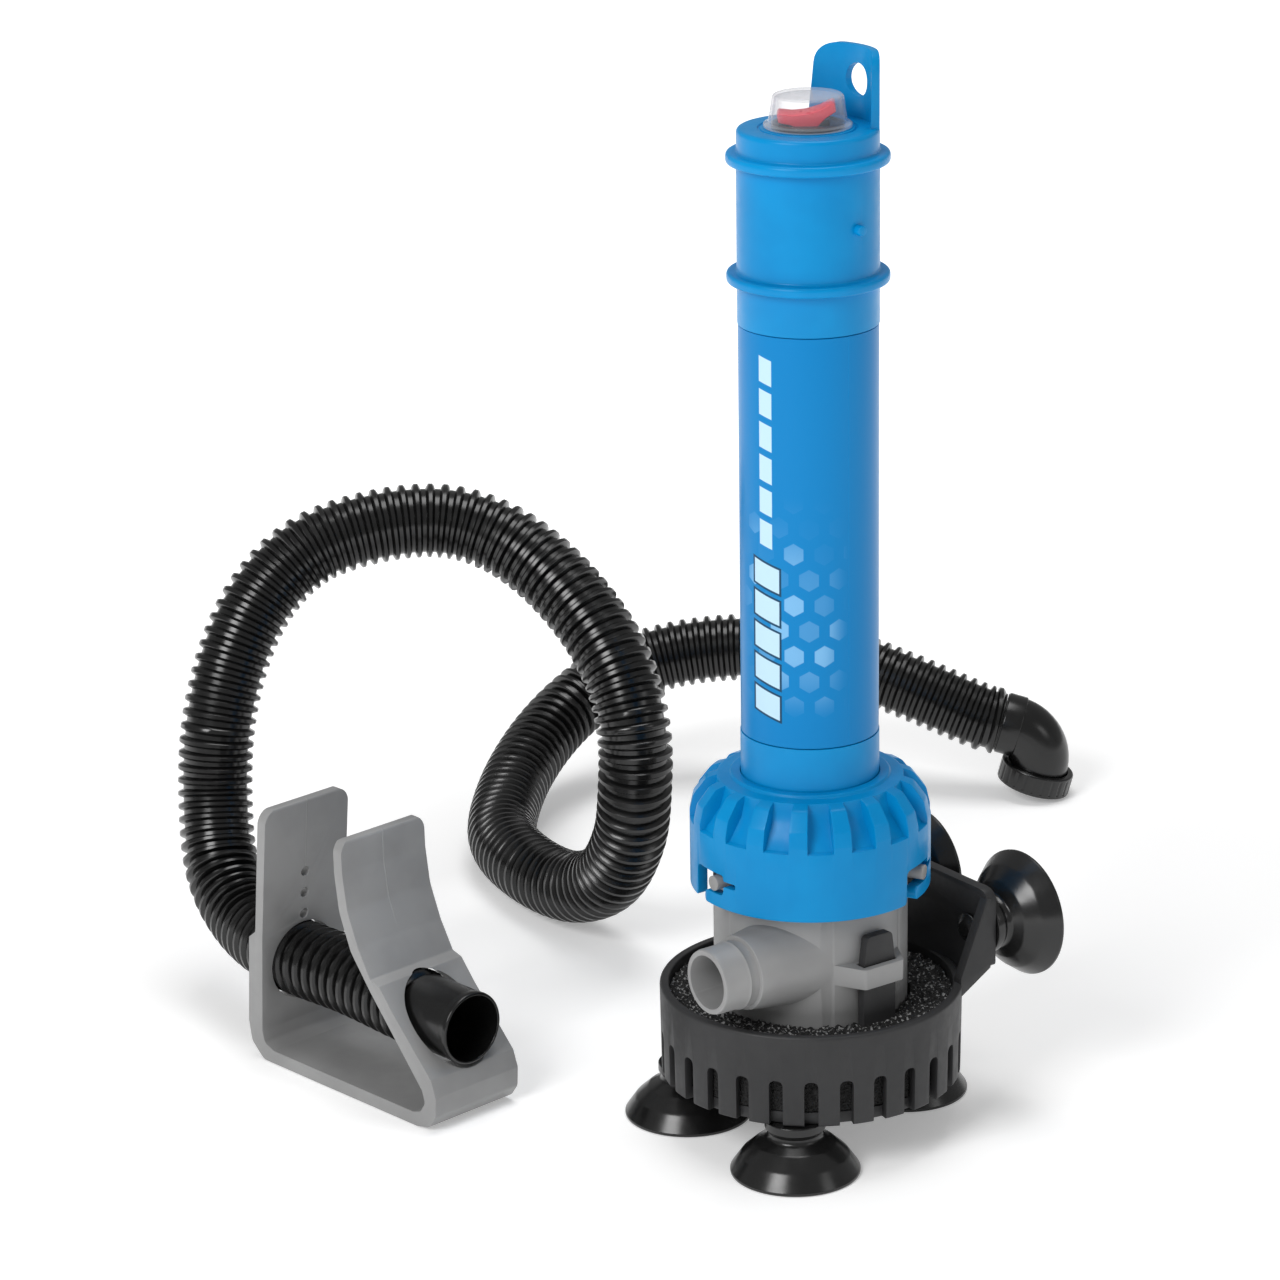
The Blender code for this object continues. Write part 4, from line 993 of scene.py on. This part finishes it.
@dataclass
class BatteryTube:
    """Blue tube with its rims, the printed wrap, the top cap with its hang tab, and the switch."""

    radius: float = 21.2
    wrap_radius: float = 21.0
    wrap_z: tuple[float, float] = (130.2, 257.1)
    foot_z: float = 101.6
    top_z: float = 304.2
    rim: float = 24.3
    rim_thick: float = 3.2
    rim_z: float = 269.9
    cap_rim_z: float = 305.6
    cap_top_z: float = 315.8
    cap_radius: float = 21.1
    tab_top_z: float = 337.5
    tab_hole_z: float = 327.3
    tab_hole: float = 5.0
    peg_azimuth: float = math.radians(5)
    peg_z: float = 288.5
    peg_reach: float = 23.4
    peg_radius: float = 1.6
    seam_azimuth: float = math.radians(-3)
    print_azimuth: float = math.radians(-76)

    def tube(self) -> bpy.types.Object:
        """Turn the tube with the wrap's recess and the second rim, and add the lock peg.

        Returns:
            The solid, in its place.
        """
        recess = self.wrap_radius - 0.7
        low, high = self.wrap_z[0] - 0.3, self.wrap_z[1] + 0.3
        rim_top = self.rim_z + self.rim_thick
        tube = turned("tube_moulding", [
            (30, self.foot_z), (30, self.foot_z + 2.8), (self.radius, self.foot_z + 2.8),
            (self.radius, low, 0.1), (recess, low), (recess, high), (self.radius, high, 0.1),
            (self.radius, self.rim_z, 0.5), (self.rim, self.rim_z, 1.1), (self.rim, rim_top, 1.3),
            (self.radius, rim_top, 0.8),
            (self.radius, self.cap_rim_z - 0.3, 0.1), (20.4, self.cap_rim_z - 0.3), (20.4, self.top_z),
            (19.7, self.top_z), (19.7, 297.7), (18.2, 297.7), (18.2, 109),
            (6, 109), (6, 107), (18.2, 107), (18.2, self.foot_z)], 128)
        peg = spoke("peg", self.peg_azimuth, self.peg_z, 20, self.peg_reach, self.peg_radius)
        return moved(shaped(tube, Cut.ADDED, eased(peg, 0.4)), ON_AXIS)

    def wrap(self) -> bpy.types.Object:
        """Turn the thin wrap and unroll it onto a UV map in millimetres, from the print's middle.

        Returns:
            The solid, in its place.
        """
        low, high = self.wrap_z
        inner = self.wrap_radius - 0.4
        outer = self.wrap_radius
        wrap = turned("wrap_print", [(inner, low), (outer, low, 0.1), (outer, high, 0.1), (inner, high)], 128)
        sheet = wrap.data.uv_layers.new(name="wrap_mm")
        for face in wrap.data.polygons:
            middle = (math.atan2(face.center.y, face.center.x) - self.seam_azimuth) % math.tau
            for corner in face.loop_indices:
                co = wrap.data.vertices[wrap.data.loops[corner].vertex_index].co
                turn = (math.atan2(co.y, co.x) - self.seam_azimuth - middle + math.pi) % math.tau - math.pi
                azimuth = middle + turn + self.seam_azimuth - math.tau
                sheet.data[corner].uv = ((azimuth - self.print_azimuth) * self.wrap_radius, co.z / MM)
        return moved(wrap, ON_AXIS)

    def cap(self) -> bpy.types.Object:
        """Turn the cap with its rim and the groove round the boot, and add the curved hang tab.

        Returns:
            The solid, in its place.
        """
        rim_top = self.cap_rim_z + self.rim_thick
        top = self.cap_top_z
        cap = turned("cap_moulding", [
            (19.4, 298), (19.4, self.cap_rim_z), (self.rim, self.cap_rim_z, 1.1), (self.rim, rim_top, 1.3),
            (self.cap_radius, rim_top, 0.8), (self.cap_radius, top, 1.5), (14.9, top, 0.3),
            (14.6, top - 0.45), (14.1, top - 0.45), (13.9, top, 0.2), (9.9, top), (9.9, 313),
            (18, 313), (18, 298)], 128)
        foot = top - 1.8
        inner, outer, crest, hole = 18.8, self.cap_radius - 0.1, self.tab_top_z, self.tab_hole_z
        tab = turned("tab", [(inner, foot), (outer, foot), (outer, crest), (inner, crest)], 128)
        outline = [(-14.9, foot - 1), (14.9, foot - 1), (13.3, crest, 6.5), (-13.3, crest, 6.5)]
        tab = shaped(tab, Cut.KEPT, plate("tab_outline", outline, -30, -8, upright(), 8))
        tab = shaped(tab, Cut.AWAY, rod("tab_hole", (0, 10, hole), (0, 30, hole), self.tab_hole, 48))
        return moved(shaped(cap, Cut.ADDED, eased(tab, 0.5, 3)), ON_AXIS)

    def build(self, paint: Paint) -> None:
        """Build and finish the tube's pieces.

        Args:
            paint: The finishes.
        """
        paint.dress(self.tube(), Slot.BLUE, "pump", "battery_tube")
        paint.dress(self.wrap(), Slot.LABEL, "pump", "label_wrap")
        paint.dress(self.cap(), Slot.BLUE, "pump", "top_cap")


@dataclass
class Switch:
    """Bezel, red rocker on its pivot, and the clear boot over both."""

    turn: float = math.radians(52)
    pivot_z: float = 318.5
    tilt: float = math.radians(11)
    foot_z: float = 316.1
    bezel_top: float = 317.3
    boot_top: float = 325.6
    wall: float = 0.8

    def bezel(self) -> bpy.types.Object:
        """Turn the switch body and cut the rocker's well.

        Returns:
            The solid, in its place.
        """
        bezel = turned("bezel_moulding", [
            (0, 303), (9.5, 303), (9.5, self.foot_z), (10.8, self.foot_z), (10.8, self.bezel_top, 0.5),
            (9.3, self.bezel_top, 0.3), (9.0, self.bezel_top - 0.4), (0, self.bezel_top - 0.4)], 72)
        well = block("well", (-6.4, -4.7, 313), (6.4, 4.7, 318), Matrix.Rotation(self.turn, 4, "Z"))
        return moved(eased(shaped(bezel, Cut.AWAY, well), 0.2), ON_AXIS)

    def rocker(self) -> bpy.types.Object:
        """Extrude the rocker's bow-shaped outline, round it, and lay it on its pivot.

        Returns:
            The solid, in its place.
        """
        outline = [(-8.6, 0.9, 0.6), (-5, -0.6, 1), (-2, -2.8, 1), (2, -2.8, 1), (5, -0.6, 1),
                   (8.6, 0.9, 0.6), (8.6, 3.0, 0.4), (7.9, 3.6, 0.5), (4, 2.4, 5), (0, 2.0, 6),
                   (-4, 2.4, 5), (-7.9, 3.6, 0.5), (-8.6, 3.0, 0.4)]
        place = (at(0, 0, self.pivot_z) @ Matrix.Rotation(self.turn, 4, "Z")
                 @ Matrix.Rotation(-self.tilt, 4, "Y") @ upright())
        rocker = plate("rocker_moulding", outline, -4.3, 4.3, place)
        return moved(eased(rocker, 0.45, 3), ON_AXIS)

    def boot(self) -> bpy.types.Object:
        """Turn the boot's wall.

        Returns:
            The solid, in its place.
        """
        foot, top = self.foot_z, self.boot_top
        return moved(turned("boot_moulding", [
            (0, top), (10.5, top, 1.2), (11.7, foot + 1.4, 0.6), (13.1, foot + 0.9, 0.3), (13.1, foot, 0.2),
            (11.1, foot), (9.9, top - self.wall, 0.8), (0, top - self.wall)], 96), ON_AXIS)

    def build(self, paint: Paint) -> None:
        """Build and finish the switch.

        Args:
            paint: The finishes.
        """
        paint.dress(self.bezel(), Slot.NYLON, "pump", "switch_body")
        paint.dress(self.rocker(), Slot.RED, "rocker", "switch_rocker")
        paint.dress(self.boot(), Slot.CLEAR, "pump", "switch_boot")


@dataclass
class LockingCollar:
    """Bayonet collar with grip pockets round its shoulder and hooked slots for the housing's pins."""

    radius: float = 37.0
    bore: float = 33.6
    low: float = 80.3
    high: float = 116.5
    neck_bore: float = 21.4
    pockets: int = 17
    pocket_start: float = math.radians(-33.2)
    pocket_half: float = math.radians(6.2)
    pin_azimuths: tuple[float, ...] = (-90, 30, 150)

    def collar(self) -> bpy.types.Object:
        """Turn the collar, cut the pockets, then each slot's mouth, pocket and relief.

        Returns:
            The solid, in its place.
        """
        collar = turned("collar_moulding", [
            (self.bore, self.low), (self.radius, self.low, 0.6), (self.radius, 103.8, 3), (35.9, 108.8, 3),
            (31.8, 114.2, 3), (28.2, 115.4, 2), (24.8, 115.6, 0.6), (24.2, self.high, 0.5),
            (self.neck_bore, self.high, 0.2), (self.neck_bore, 104.7), (30.4, 104.7),
            (self.bore, 100.5)], 153)
        floor = [(28.6, 113.8), (30.2, 108.6), (35.2, 102.4), (39, 101.6), (39, 118), (28.6, 118)]
        pocket = turned("pocket", floor, 3, self.pocket_start - self.pocket_half,
                        self.pocket_start + self.pocket_half)
        collar = shaped(collar, Cut.AWAY, around(pocket, evenly(self.pockets)))
        low, hem, sill, lintel = self.low - 1, self.low - 0.05, 84.6, 91.3
        slot = [
            (-14.5, low), (-14.5, hem), (-10, hem, 2.4), (-10, lintel, 2.2), (4.0, lintel, 2.6),
            (4.2, 89.5, 0.5), (9, 89.5, 0.8), (9, 87.7, 0.8), (4.2, 87.7, 0.5), (4.0, sill, 2.4),
            (-5.2, sill, 2.4), (-5.2, hem, 2.4), (-1, hem), (-1, low)]
        slot = plate("slot", slot, self.bore - 2.5, self.radius + 1.5, upright())
        first, *others = self.pin_azimuths
        collar = shaped(collar, Cut.AWAY, around(slot, [math.radians(a - first) for a in others]))
        return moved(eased(collar, 0.4), ON_AXIS)

    def build(self, paint: Paint) -> None:
        """Build and finish the collar."""
        paint.dress(self.collar(), Slot.BLUE, "collar", "locking_collar")


# ---------------------------------------------------------------- hose set

@dataclass
class HoseSet:
    """Corrugated hose with its cuff, gunwale clip, elbow and swivel nut."""

    diameter: float = 25.0
    valley: float = 21.4
    pitch: float = 4.3
    sides: int = 36
    clip_half: float = 17.4
    bore_z: float = 30.0
    cuff_span: tuple[float, float] = (-19.0, 3.5)
    cuff_radius: float = 11.7
    elbow_radius: float = 11.0
    elbow_bore: float = 8.5
    elbow_leg: float = 18.0
    elbow_drop: float = 20.3
    elbow_bend: float = 12.5
    lip_z: float = 2.2
    elbow_yaw: float = math.radians(45.9)
    elbow_dip: float = math.radians(15)
    nut_radius: float = 13.7
    grooves: int = 24
    straight: float = 0.009
    hose_end: Point = (-0.187, 0.2292, 0.028)
    # The hose's centre line from the cuff to the elbow, in metres
    route: tuple[Point, ...] = (
        (-0.122, -0.0988, 0.031), (-0.154, -0.1038, 0.031), (-0.182, -0.1018, 0.033),
        (-0.202, -0.0988, 0.044), (-0.213, -0.0938, 0.065), (-0.217, -0.0888, 0.090),
        (-0.220, -0.0788, 0.113), (-0.221, -0.0658, 0.130),
        (-0.218, -0.0498, 0.142), (-0.210, -0.0298, 0.148), (-0.199, -0.0098, 0.149), (-0.186, 0.0042, 0.144),
        (-0.170, 0.0132, 0.134), (-0.152, 0.0182, 0.120), (-0.137, 0.0192, 0.105), (-0.128, 0.0182, 0.087),
        (-0.128, 0.0182, 0.067), (-0.136, 0.0212, 0.046), (-0.153, 0.0242, 0.026), (-0.177, 0.0252, 0.015),
        (-0.206, 0.0272, 0.013), (-0.236, 0.0372, 0.0132), (-0.262, 0.0592, 0.018), (-0.279, 0.0832, 0.026),
        (-0.286, 0.1052, 0.035), (-0.284, 0.1252, 0.044), (-0.273, 0.1462, 0.050), (-0.256, 0.1682, 0.052),
        (-0.236, 0.1872, 0.049), (-0.215, 0.2042, 0.041))

    def clip_frame(self) -> Matrix:
        """Return where the clip stands and how it is turned."""
        return Matrix.Translation((CLIP_X, CLIP_Y, 0)) @ Matrix.Rotation(CLIP_YAW, 4, "Z")

    def ahead(self) -> Vector:
        """Return the way the hose points as it enters the elbow.

        Returns:
            The way, one metre long.
        """
        flat = math.cos(self.elbow_dip)
        return Vector((math.cos(self.elbow_yaw) * flat, math.sin(self.elbow_yaw) * flat,
                       -math.sin(self.elbow_dip)))

    def elbow_frame(self) -> Matrix:
        """Return the frame with the nut's mouth at its origin and the outlet down its -Z.

        Returns:
            The frame.
        """
        ahead = self.ahead()
        side = Vector((-math.sin(self.elbow_yaw), math.cos(self.elbow_yaw), 0))
        up = ahead.cross(side)
        mouth = Vector(self.hose_end) + (ahead * self.elbow_leg - up * self.elbow_drop) * MM
        return Matrix.Translation(mouth) @ Matrix((ahead, side, up)).transposed().to_4x4()

    def centre_line(self) -> list[Vector]:
        """Return close, even points on the smooth curve through the route.

        Returns:
            The points, from the cuff to the elbow.
        """
        clip = self.clip_frame()
        start = clip @ Vector(((self.cuff_span[0] - 0.3) * MM, 0, self.bore_z * MM))
        leaves = clip @ Vector((self.cuff_span[0] * MM - self.straight, 0, self.bore_z * MM))
        end = Vector(self.hose_end)
        points = [start, leaves, *map(Vector, self.route), end - self.ahead() * self.straight, end]
        points = [points[0] * 2 - points[1], *points, points[-1] * 2 - points[-2]]
        dense: list[Vector] = []
        for a, b, c, d in zip(points, points[1:], points[2:], points[3:]):
            for k in range(24):
                t = k / 24
                dense.append(0.5 * (2 * b + (c - a) * t + (2 * a - 5 * b + 4 * c - d) * t ** 2
                                    + (3 * b - a - 3 * c + d) * t ** 3))
        dense.append(points[-2])
        return dense

    def hose(self) -> tuple[bpy.types.Object, list[Vector], float]:
        """Skin the corrugated hose along its centre line.

        Returns:
            The hose, its centre line and its length.
        """
        line = self.centre_line()
        lengths = [0.0]
        for a, b in zip(line, line[1:]):
            lengths.append(lengths[-1] + (b - a).length)
        ribs = round(lengths[-1] / (self.pitch * MM))
        crest, root = self.diameter / 2, self.valley / 2
        rib = ((0.0, root), (0.2, root), (0.33, crest - 0.45), (0.42, crest), (0.68, crest),
               (0.77, crest - 0.45), (0.9, root))
        marks = [((i + share) / ribs * lengths[-1], radius) for i in range(ribs) for share, radius in rib]
        marks.append((lengths[-1], root))
        mesh = bmesh.new()
        rings = []
        normal = None
        j = 0
        for mark, radius in marks:
            while j < len(line) - 2 and lengths[j + 1] < mark:
                j += 1
            share = (mark - lengths[j]) / (lengths[j + 1] - lengths[j])
            centre = line[j].lerp(line[j + 1], share)
            way = (line[min(j + 2, len(line) - 1)] - line[max(j - 1, 0)]).normalized()
            normal = way.orthogonal() if normal is None else normal - way * normal.dot(way)
            normal.normalize()
            side = way.cross(normal)
            ways = [normal * math.cos(a) + side * math.sin(a) for a in (0.0, *evenly(self.sides))]
            rings.append([mesh.verts.new(centre + out * radius * MM) for out in ways])
        for ring, following in zip(rings, rings[1:]):
            for k in range(self.sides):
                n = (k + 1) % self.sides
                mesh.faces.new((ring[k], ring[n], following[n], following[k]))
        mesh.faces.new(reversed(rings[0]))
        mesh.faces.new(rings[-1])
        data = bpy.data.meshes.new("hose_skin")
        mesh.to_mesh(data)
        mesh.free()
        return linked("hose_skin", data), line, lengths[-1]

    def clip(self) -> bpy.types.Object:
        """Extrude the clip's bent strip, round its plates' corners, and bore it.

        Returns:
            The solid, in its place.
        """
        strip = [
            (-79.4, 0, 4), (-4.5, 0, 3), (1.5, 1.2, 3), (4.6, 5.5, 3), (5, 12, 2), (3, 17.5, 1.2),
            (-14.5, 35.5, 1), (-20.5, 42.5, 1), (-24.5, 43.6, 1.2), (-30, 53, 12), (-34.5, 64, 12),
            (-36.3, 76, 12), (-36.5, 86.3, 1), (-40.3, 86.3, 1), (-40.2, 75, 12), (-38.4, 62.5, 12),
            (-33.5, 50.5, 12), (-24.8, 39.5, 8), (-1.5, 13, 2), (-0.2, 9, 2), (-2.5, 5.5, 2), (-6, 4.4, 2),
            (-74, 4.4, 2),
            (-78.5, 6, 2), (-79.6, 10, 3), (-77.6, 42, 6), (-73.2, 87, 1), (-77, 87, 1), (-81, 44, 1),
            (-84.3, 41.5, 1), (-86.3, 12, 3), (-85, 5, 3)]
        clip = plate("clip_moulding", strip, -self.clip_half, self.clip_half, upright())
        half = self.clip_half + 0.2
        shape = [(-half, -1, 2), (half, -1, 2), (half, 87.3, 7), (-half, 87.3, 7)]
        clip = shaped(clip, Cut.KEPT, plate("corner_shape", shape, -95, 15, SIDEWAYS, 8))
        bores = [("back_bore", -100, -60, self.bore_z + 0.5, 13.2, 64),
                 ("front_bore", -30, 20, self.bore_z, 13.0, 64)]
        bores += [("small_hole", -90, -60, height, 1.7, 24) for height in (46.6, 54.1, 61.6)]
        for name, back, front, height, radius, steps in bores:
            clip = shaped(clip, Cut.AWAY, rod(name, (back, 0, height), (front, 0, height), radius, steps))
        return moved(eased(clip, 0.9, 3, 45.0), self.clip_frame())

    def cuff(self) -> bpy.types.Object:
        """Turn the hose's smooth cuff with its thin lip.

        Returns:
            The solid, in its place.
        """
        low, high = self.cuff_span
        outer = self.cuff_radius
        cuff = turned("cuff_moulding", [
            (outer - 1.9, low), (outer, low, 0.4), (outer, high - 3, 1), (outer + 0.15, high - 1.2, 0.5),
            (outer, high, 0.5), (outer - 0.9, high, 0.3), (outer - 1.3, high - 4, 2),
            (outer - 1.9, low + 3, 1)], 72)
        lay = at(0, 0, self.bore_z) @ Matrix.Rotation(math.pi / 2, 4, "Y")
        return moved(cuff, self.clip_frame() @ lay)

    def bend(self, name: str, radius: float, past: float) -> bpy.types.Object:
        """Spin a filled ring through the elbow's bend, with a straight leg on each side.

        Args:
            name: The piece's name.
            radius: The ring's radius in millimetres.
            past: How far both legs run past the elbow's ends, in millimetres.

        Returns:
            The solid, in the elbow's own frame.
        """
        turn, drop = self.elbow_bend, self.elbow_drop
        bpy.ops.object.select_all(action="DESELECT")
        bpy.ops.mesh.primitive_circle_add(
            vertices=64, radius=radius * MM, fill_type="NGON", rotation=(0, math.pi / 2, 0),
            location=((0.3 - self.elbow_leg - past) * MM, 0, drop * MM))
        piece = bpy.context.object
        piece.name = name
        bpy.ops.object.mode_set(mode="EDIT")
        bpy.ops.mesh.select_all(action="SELECT")
        leg = self.elbow_leg - 0.3 - turn + past
        bpy.ops.mesh.extrude_region_move(TRANSFORM_OT_translate={"value": (leg * MM, 0, 0)})
        bpy.ops.mesh.spin(steps=14, angle=-math.pi / 2, use_auto_merge=True, axis=(0, 1, 0),
                          center=(-turn * MM, 0, (drop - turn) * MM))
        foot = drop - turn - self.lip_z + past
        bpy.ops.mesh.extrude_region_move(TRANSFORM_OT_translate={"value": (0, 0, -foot * MM)})
        return close_up(piece)

    def elbow(self) -> bpy.types.Object:
        """Bend the elbow, add its sleeve and the lip that holds the nut, and bore it.

        Returns:
            The solid, in its place.
        """
        outer, lip_z = self.elbow_radius, self.lip_z
        elbow = self.bend("elbow_moulding", outer, 0.0)
        sleeve = turned("sleeve", [(0, -7), (outer + 0.45, -7, 0.4), (outer + 0.45, 0, 0.4), (0, 0)], 64)
        lay = at(7.6 - self.elbow_leg, 0, self.elbow_drop) @ Matrix.Rotation(math.pi / 2, 4, "Y")
        edge, lip_top = outer + 1, lip_z + 1.5
        lip = turned("lip", [(0, lip_z), (edge, lip_z), (edge, lip_top, 0.3), (0, lip_top)], 64)
        elbow = shaped(elbow, Cut.ADDED, moved(sleeve, lay), lip)
        elbow = shaped(elbow, Cut.AWAY, self.bend("elbow_bore", self.elbow_bore, 1.0))
        return moved(eased(elbow, 0.3), self.elbow_frame())

    def nut(self) -> bpy.types.Object:
        """Turn the swivel nut and cut fine grooves round its grip.

        Returns:
            The solid, in its place.
        """
        radius = self.nut_radius
        nut = turned("nut_moulding", [
            (12.4, 0), (radius, 0, 0.6), (radius, 8, 0.8), (11.4, 8, 0.3), (11.4, 4.1), (12.4, 4.1)], 96)
        groove = rod("groove", (radius + 0.45, 0, 1.2), (radius + 0.45, 0, 6.8), 0.75, 10)
        return moved(shaped(nut, Cut.AWAY, around(groove, evenly(self.grooves))), self.elbow_frame())

    def build(self, paint: Paint) -> None:
        """Args:
            paint: The finishes.
        """
        hose, line, length = self.hose()
        paint.dress(hose, Slot.HOSE, "base", "discharge_hose")
        clip = paint.dress(self.clip(), Slot.GREY, "base", "hose_clip")
        cuff = paint.dress(self.cuff(), Slot.HOSE, "base", "hose_cuff")
        elbow = paint.dress(self.elbow(), Slot.HOSE, "base", "hose_elbow")
        nut = paint.dress(self.nut(), Slot.HOSE, "nut", "swivel_nut")
        paint.dress_node("nut_washer", Slot.SEAL)
        LOG.info("hose length %.3f m", length)


# ---------------------------------------------------------------- inner pieces and studio

@dataclass(frozen=True)
class InnerPieces:
    """The CAD nodes that stay as they are: inside the pump, or out of sight until it is lifted."""

    finishes: tuple[tuple[Slot, tuple[str, ...]], ...] = (
        (Slot.GREY, ("intake_cover",)),
        (Slot.STEEL, ("cover_screw_1", "cover_screw_2", "cover_screw_3", "motor_can", "motor_screw_1",
                      "motor_screw_2", "motor_shaft", "contact_spring")),
        (Slot.SEAL, ("shaft_seal", "housing_seal", "cap_gasket")),
        (Slot.NYLON, ("motor_end_cap", "impeller")),
        (Slot.CELL, ("cell_1", "cell_2", "cell_3")),
        (Slot.BRASS, ("bottom_contact", "top_contact", "contact_strip")))

    def build(self, paint: Paint) -> None:
        """Give each node its finish.

        Args:
            paint: The finishes.
        """
        for slot, names in self.finishes:
            for name in names:
                paint.dress_node(name, slot)


@dataclass(frozen=True)
class Studio:
    """Pale floor with a painted glow, soft lights and the camera."""

    camera_place: Point = (1.02646, -0.81263, 0.59129)
    camera_ahead: Point = (-0.76932, 0.55571, -0.31502)
    camera_roll: float = -0.01581
    lens: float = 127.46
    sensor: float = 36.0
    far: float = 80.0
    floor_size: float = 60.0
    floor_z: float = -0.0002                            # just below the feet
    glow_reach: tuple[float, float] = (0.25, 0.9)       # distances between which the floor's painted glow grows
    glow_strength: tuple[float, float] = (0.26, 0.9)
    world_strength: float = 0.3
    lights_aim: Point = (-0.05, 0.02, 0.1)
    # Each light's name, place, size in metres and power in watts
    lights: tuple[tuple[str, Point, float, float], ...] = (
        ("key_softbox", (0.4, -1.5, 1.25), 0.8, 19.0), ("side_softbox", (1.5, 0.7, 0.9), 0.5, 1.5),
        ("top_softbox", (-0.2, 0.2, 1.8), 0.9, 12.0))

    def camera(self) -> None:
        """Set the camera at its place, with its slight roll."""
        ahead = Vector(self.camera_ahead).normalized()
        right = ahead.cross(Vector((0, 0, 1))).normalized()
        up = right.cross(ahead)
        tilted = (right + up * self.camera_roll).normalized()
        up = tilted.cross(ahead)
        data = bpy.data.cameras.new("studio_camera")
        data.lens = self.lens
        data.sensor_width = self.sensor
        data.clip_end = self.far
        camera = linked("studio_camera", data)
        turn = Matrix((tilted, up, -ahead)).transposed().to_4x4()
        camera.matrix_world = Matrix.Translation(self.camera_place) @ turn
        bpy.context.scene.camera = camera

    def floor(self) -> None:
        """Lay the pale floor, with a painted glow: faint near the pump, strong farther off."""
        bpy.ops.object.select_all(action="DESELECT")
        bpy.ops.mesh.primitive_plane_add(size=self.floor_size, location=(0, 0, self.floor_z))
        floor = bpy.context.object
        floor.name = "studio_floor"
        paper, tree, shader = new_material("white_paper_with_painted_glow")
        # painted light: the floor glows, faintly near the pump and more strongly farther off
        place = add_node(tree, COORDINATES, output="Object")
        away = add_node(tree, VECTOR, (place,), "Value", operation="LENGTH")
        glow = add_node(tree, RANGE, (away, *self.glow_reach, *self.glow_strength), **SMOOTH)
        feed(tree, shader, {"Base Color": linear("#F7F7F7"), "Roughness": 0.9, "Specular IOR Level": 0.1,
                            "Emission Color": linear("#FFFFFF"), "Emission Strength": glow})
        floor.data.materials.append(paper)

    def light(self, name: str, place: Point, size: float, power: float) -> None:
        """Hang one square soft light, aimed at a point.

        Args:
            name: The light's name.
            place: Where it hangs.
            size: Its side in metres.
            power: Its power in watts.
        """
        data = bpy.data.lights.new(name, "AREA")
        data.size = size
        data.energy = power
        lamp = linked(name, data)
        lamp.location = place
        lamp.rotation_euler = (Vector(place) - Vector(self.lights_aim)).to_track_quat("Z", "Y").to_euler()

    def build(self) -> None:
        """Set up the camera, floor, world and lights."""
        self.camera()
        self.floor()
        world = bpy.data.worlds.new("studio_world")
        world.use_nodes = True
        backdrop = {"Color": (1.0, 1.0, 1.0, 1.0), "Strength": self.world_strength}
        feed(world.node_tree, world.node_tree.nodes["Background"], backdrop)
        bpy.context.scene.world = world
        bpy.context.scene.view_settings.view_transform = "Standard"
        for light in self.lights:
            self.light(*light)


def main() -> None:
    """Build the studio and every sub-assembly in order."""
    logging.basicConfig(level=logging.INFO, format="%(name)s: %(message)s")
    Studio().build()
    paint = Paint()
    HoseSet().build(paint)
    StrainerBase().build(paint)
    PumpHousing().build(paint)
    BatteryTube().build(paint)
    Switch().build(paint)
    LockingCollar().build(paint)
    InnerPieces().build(paint)


if __name__ == "__main__":
    main()
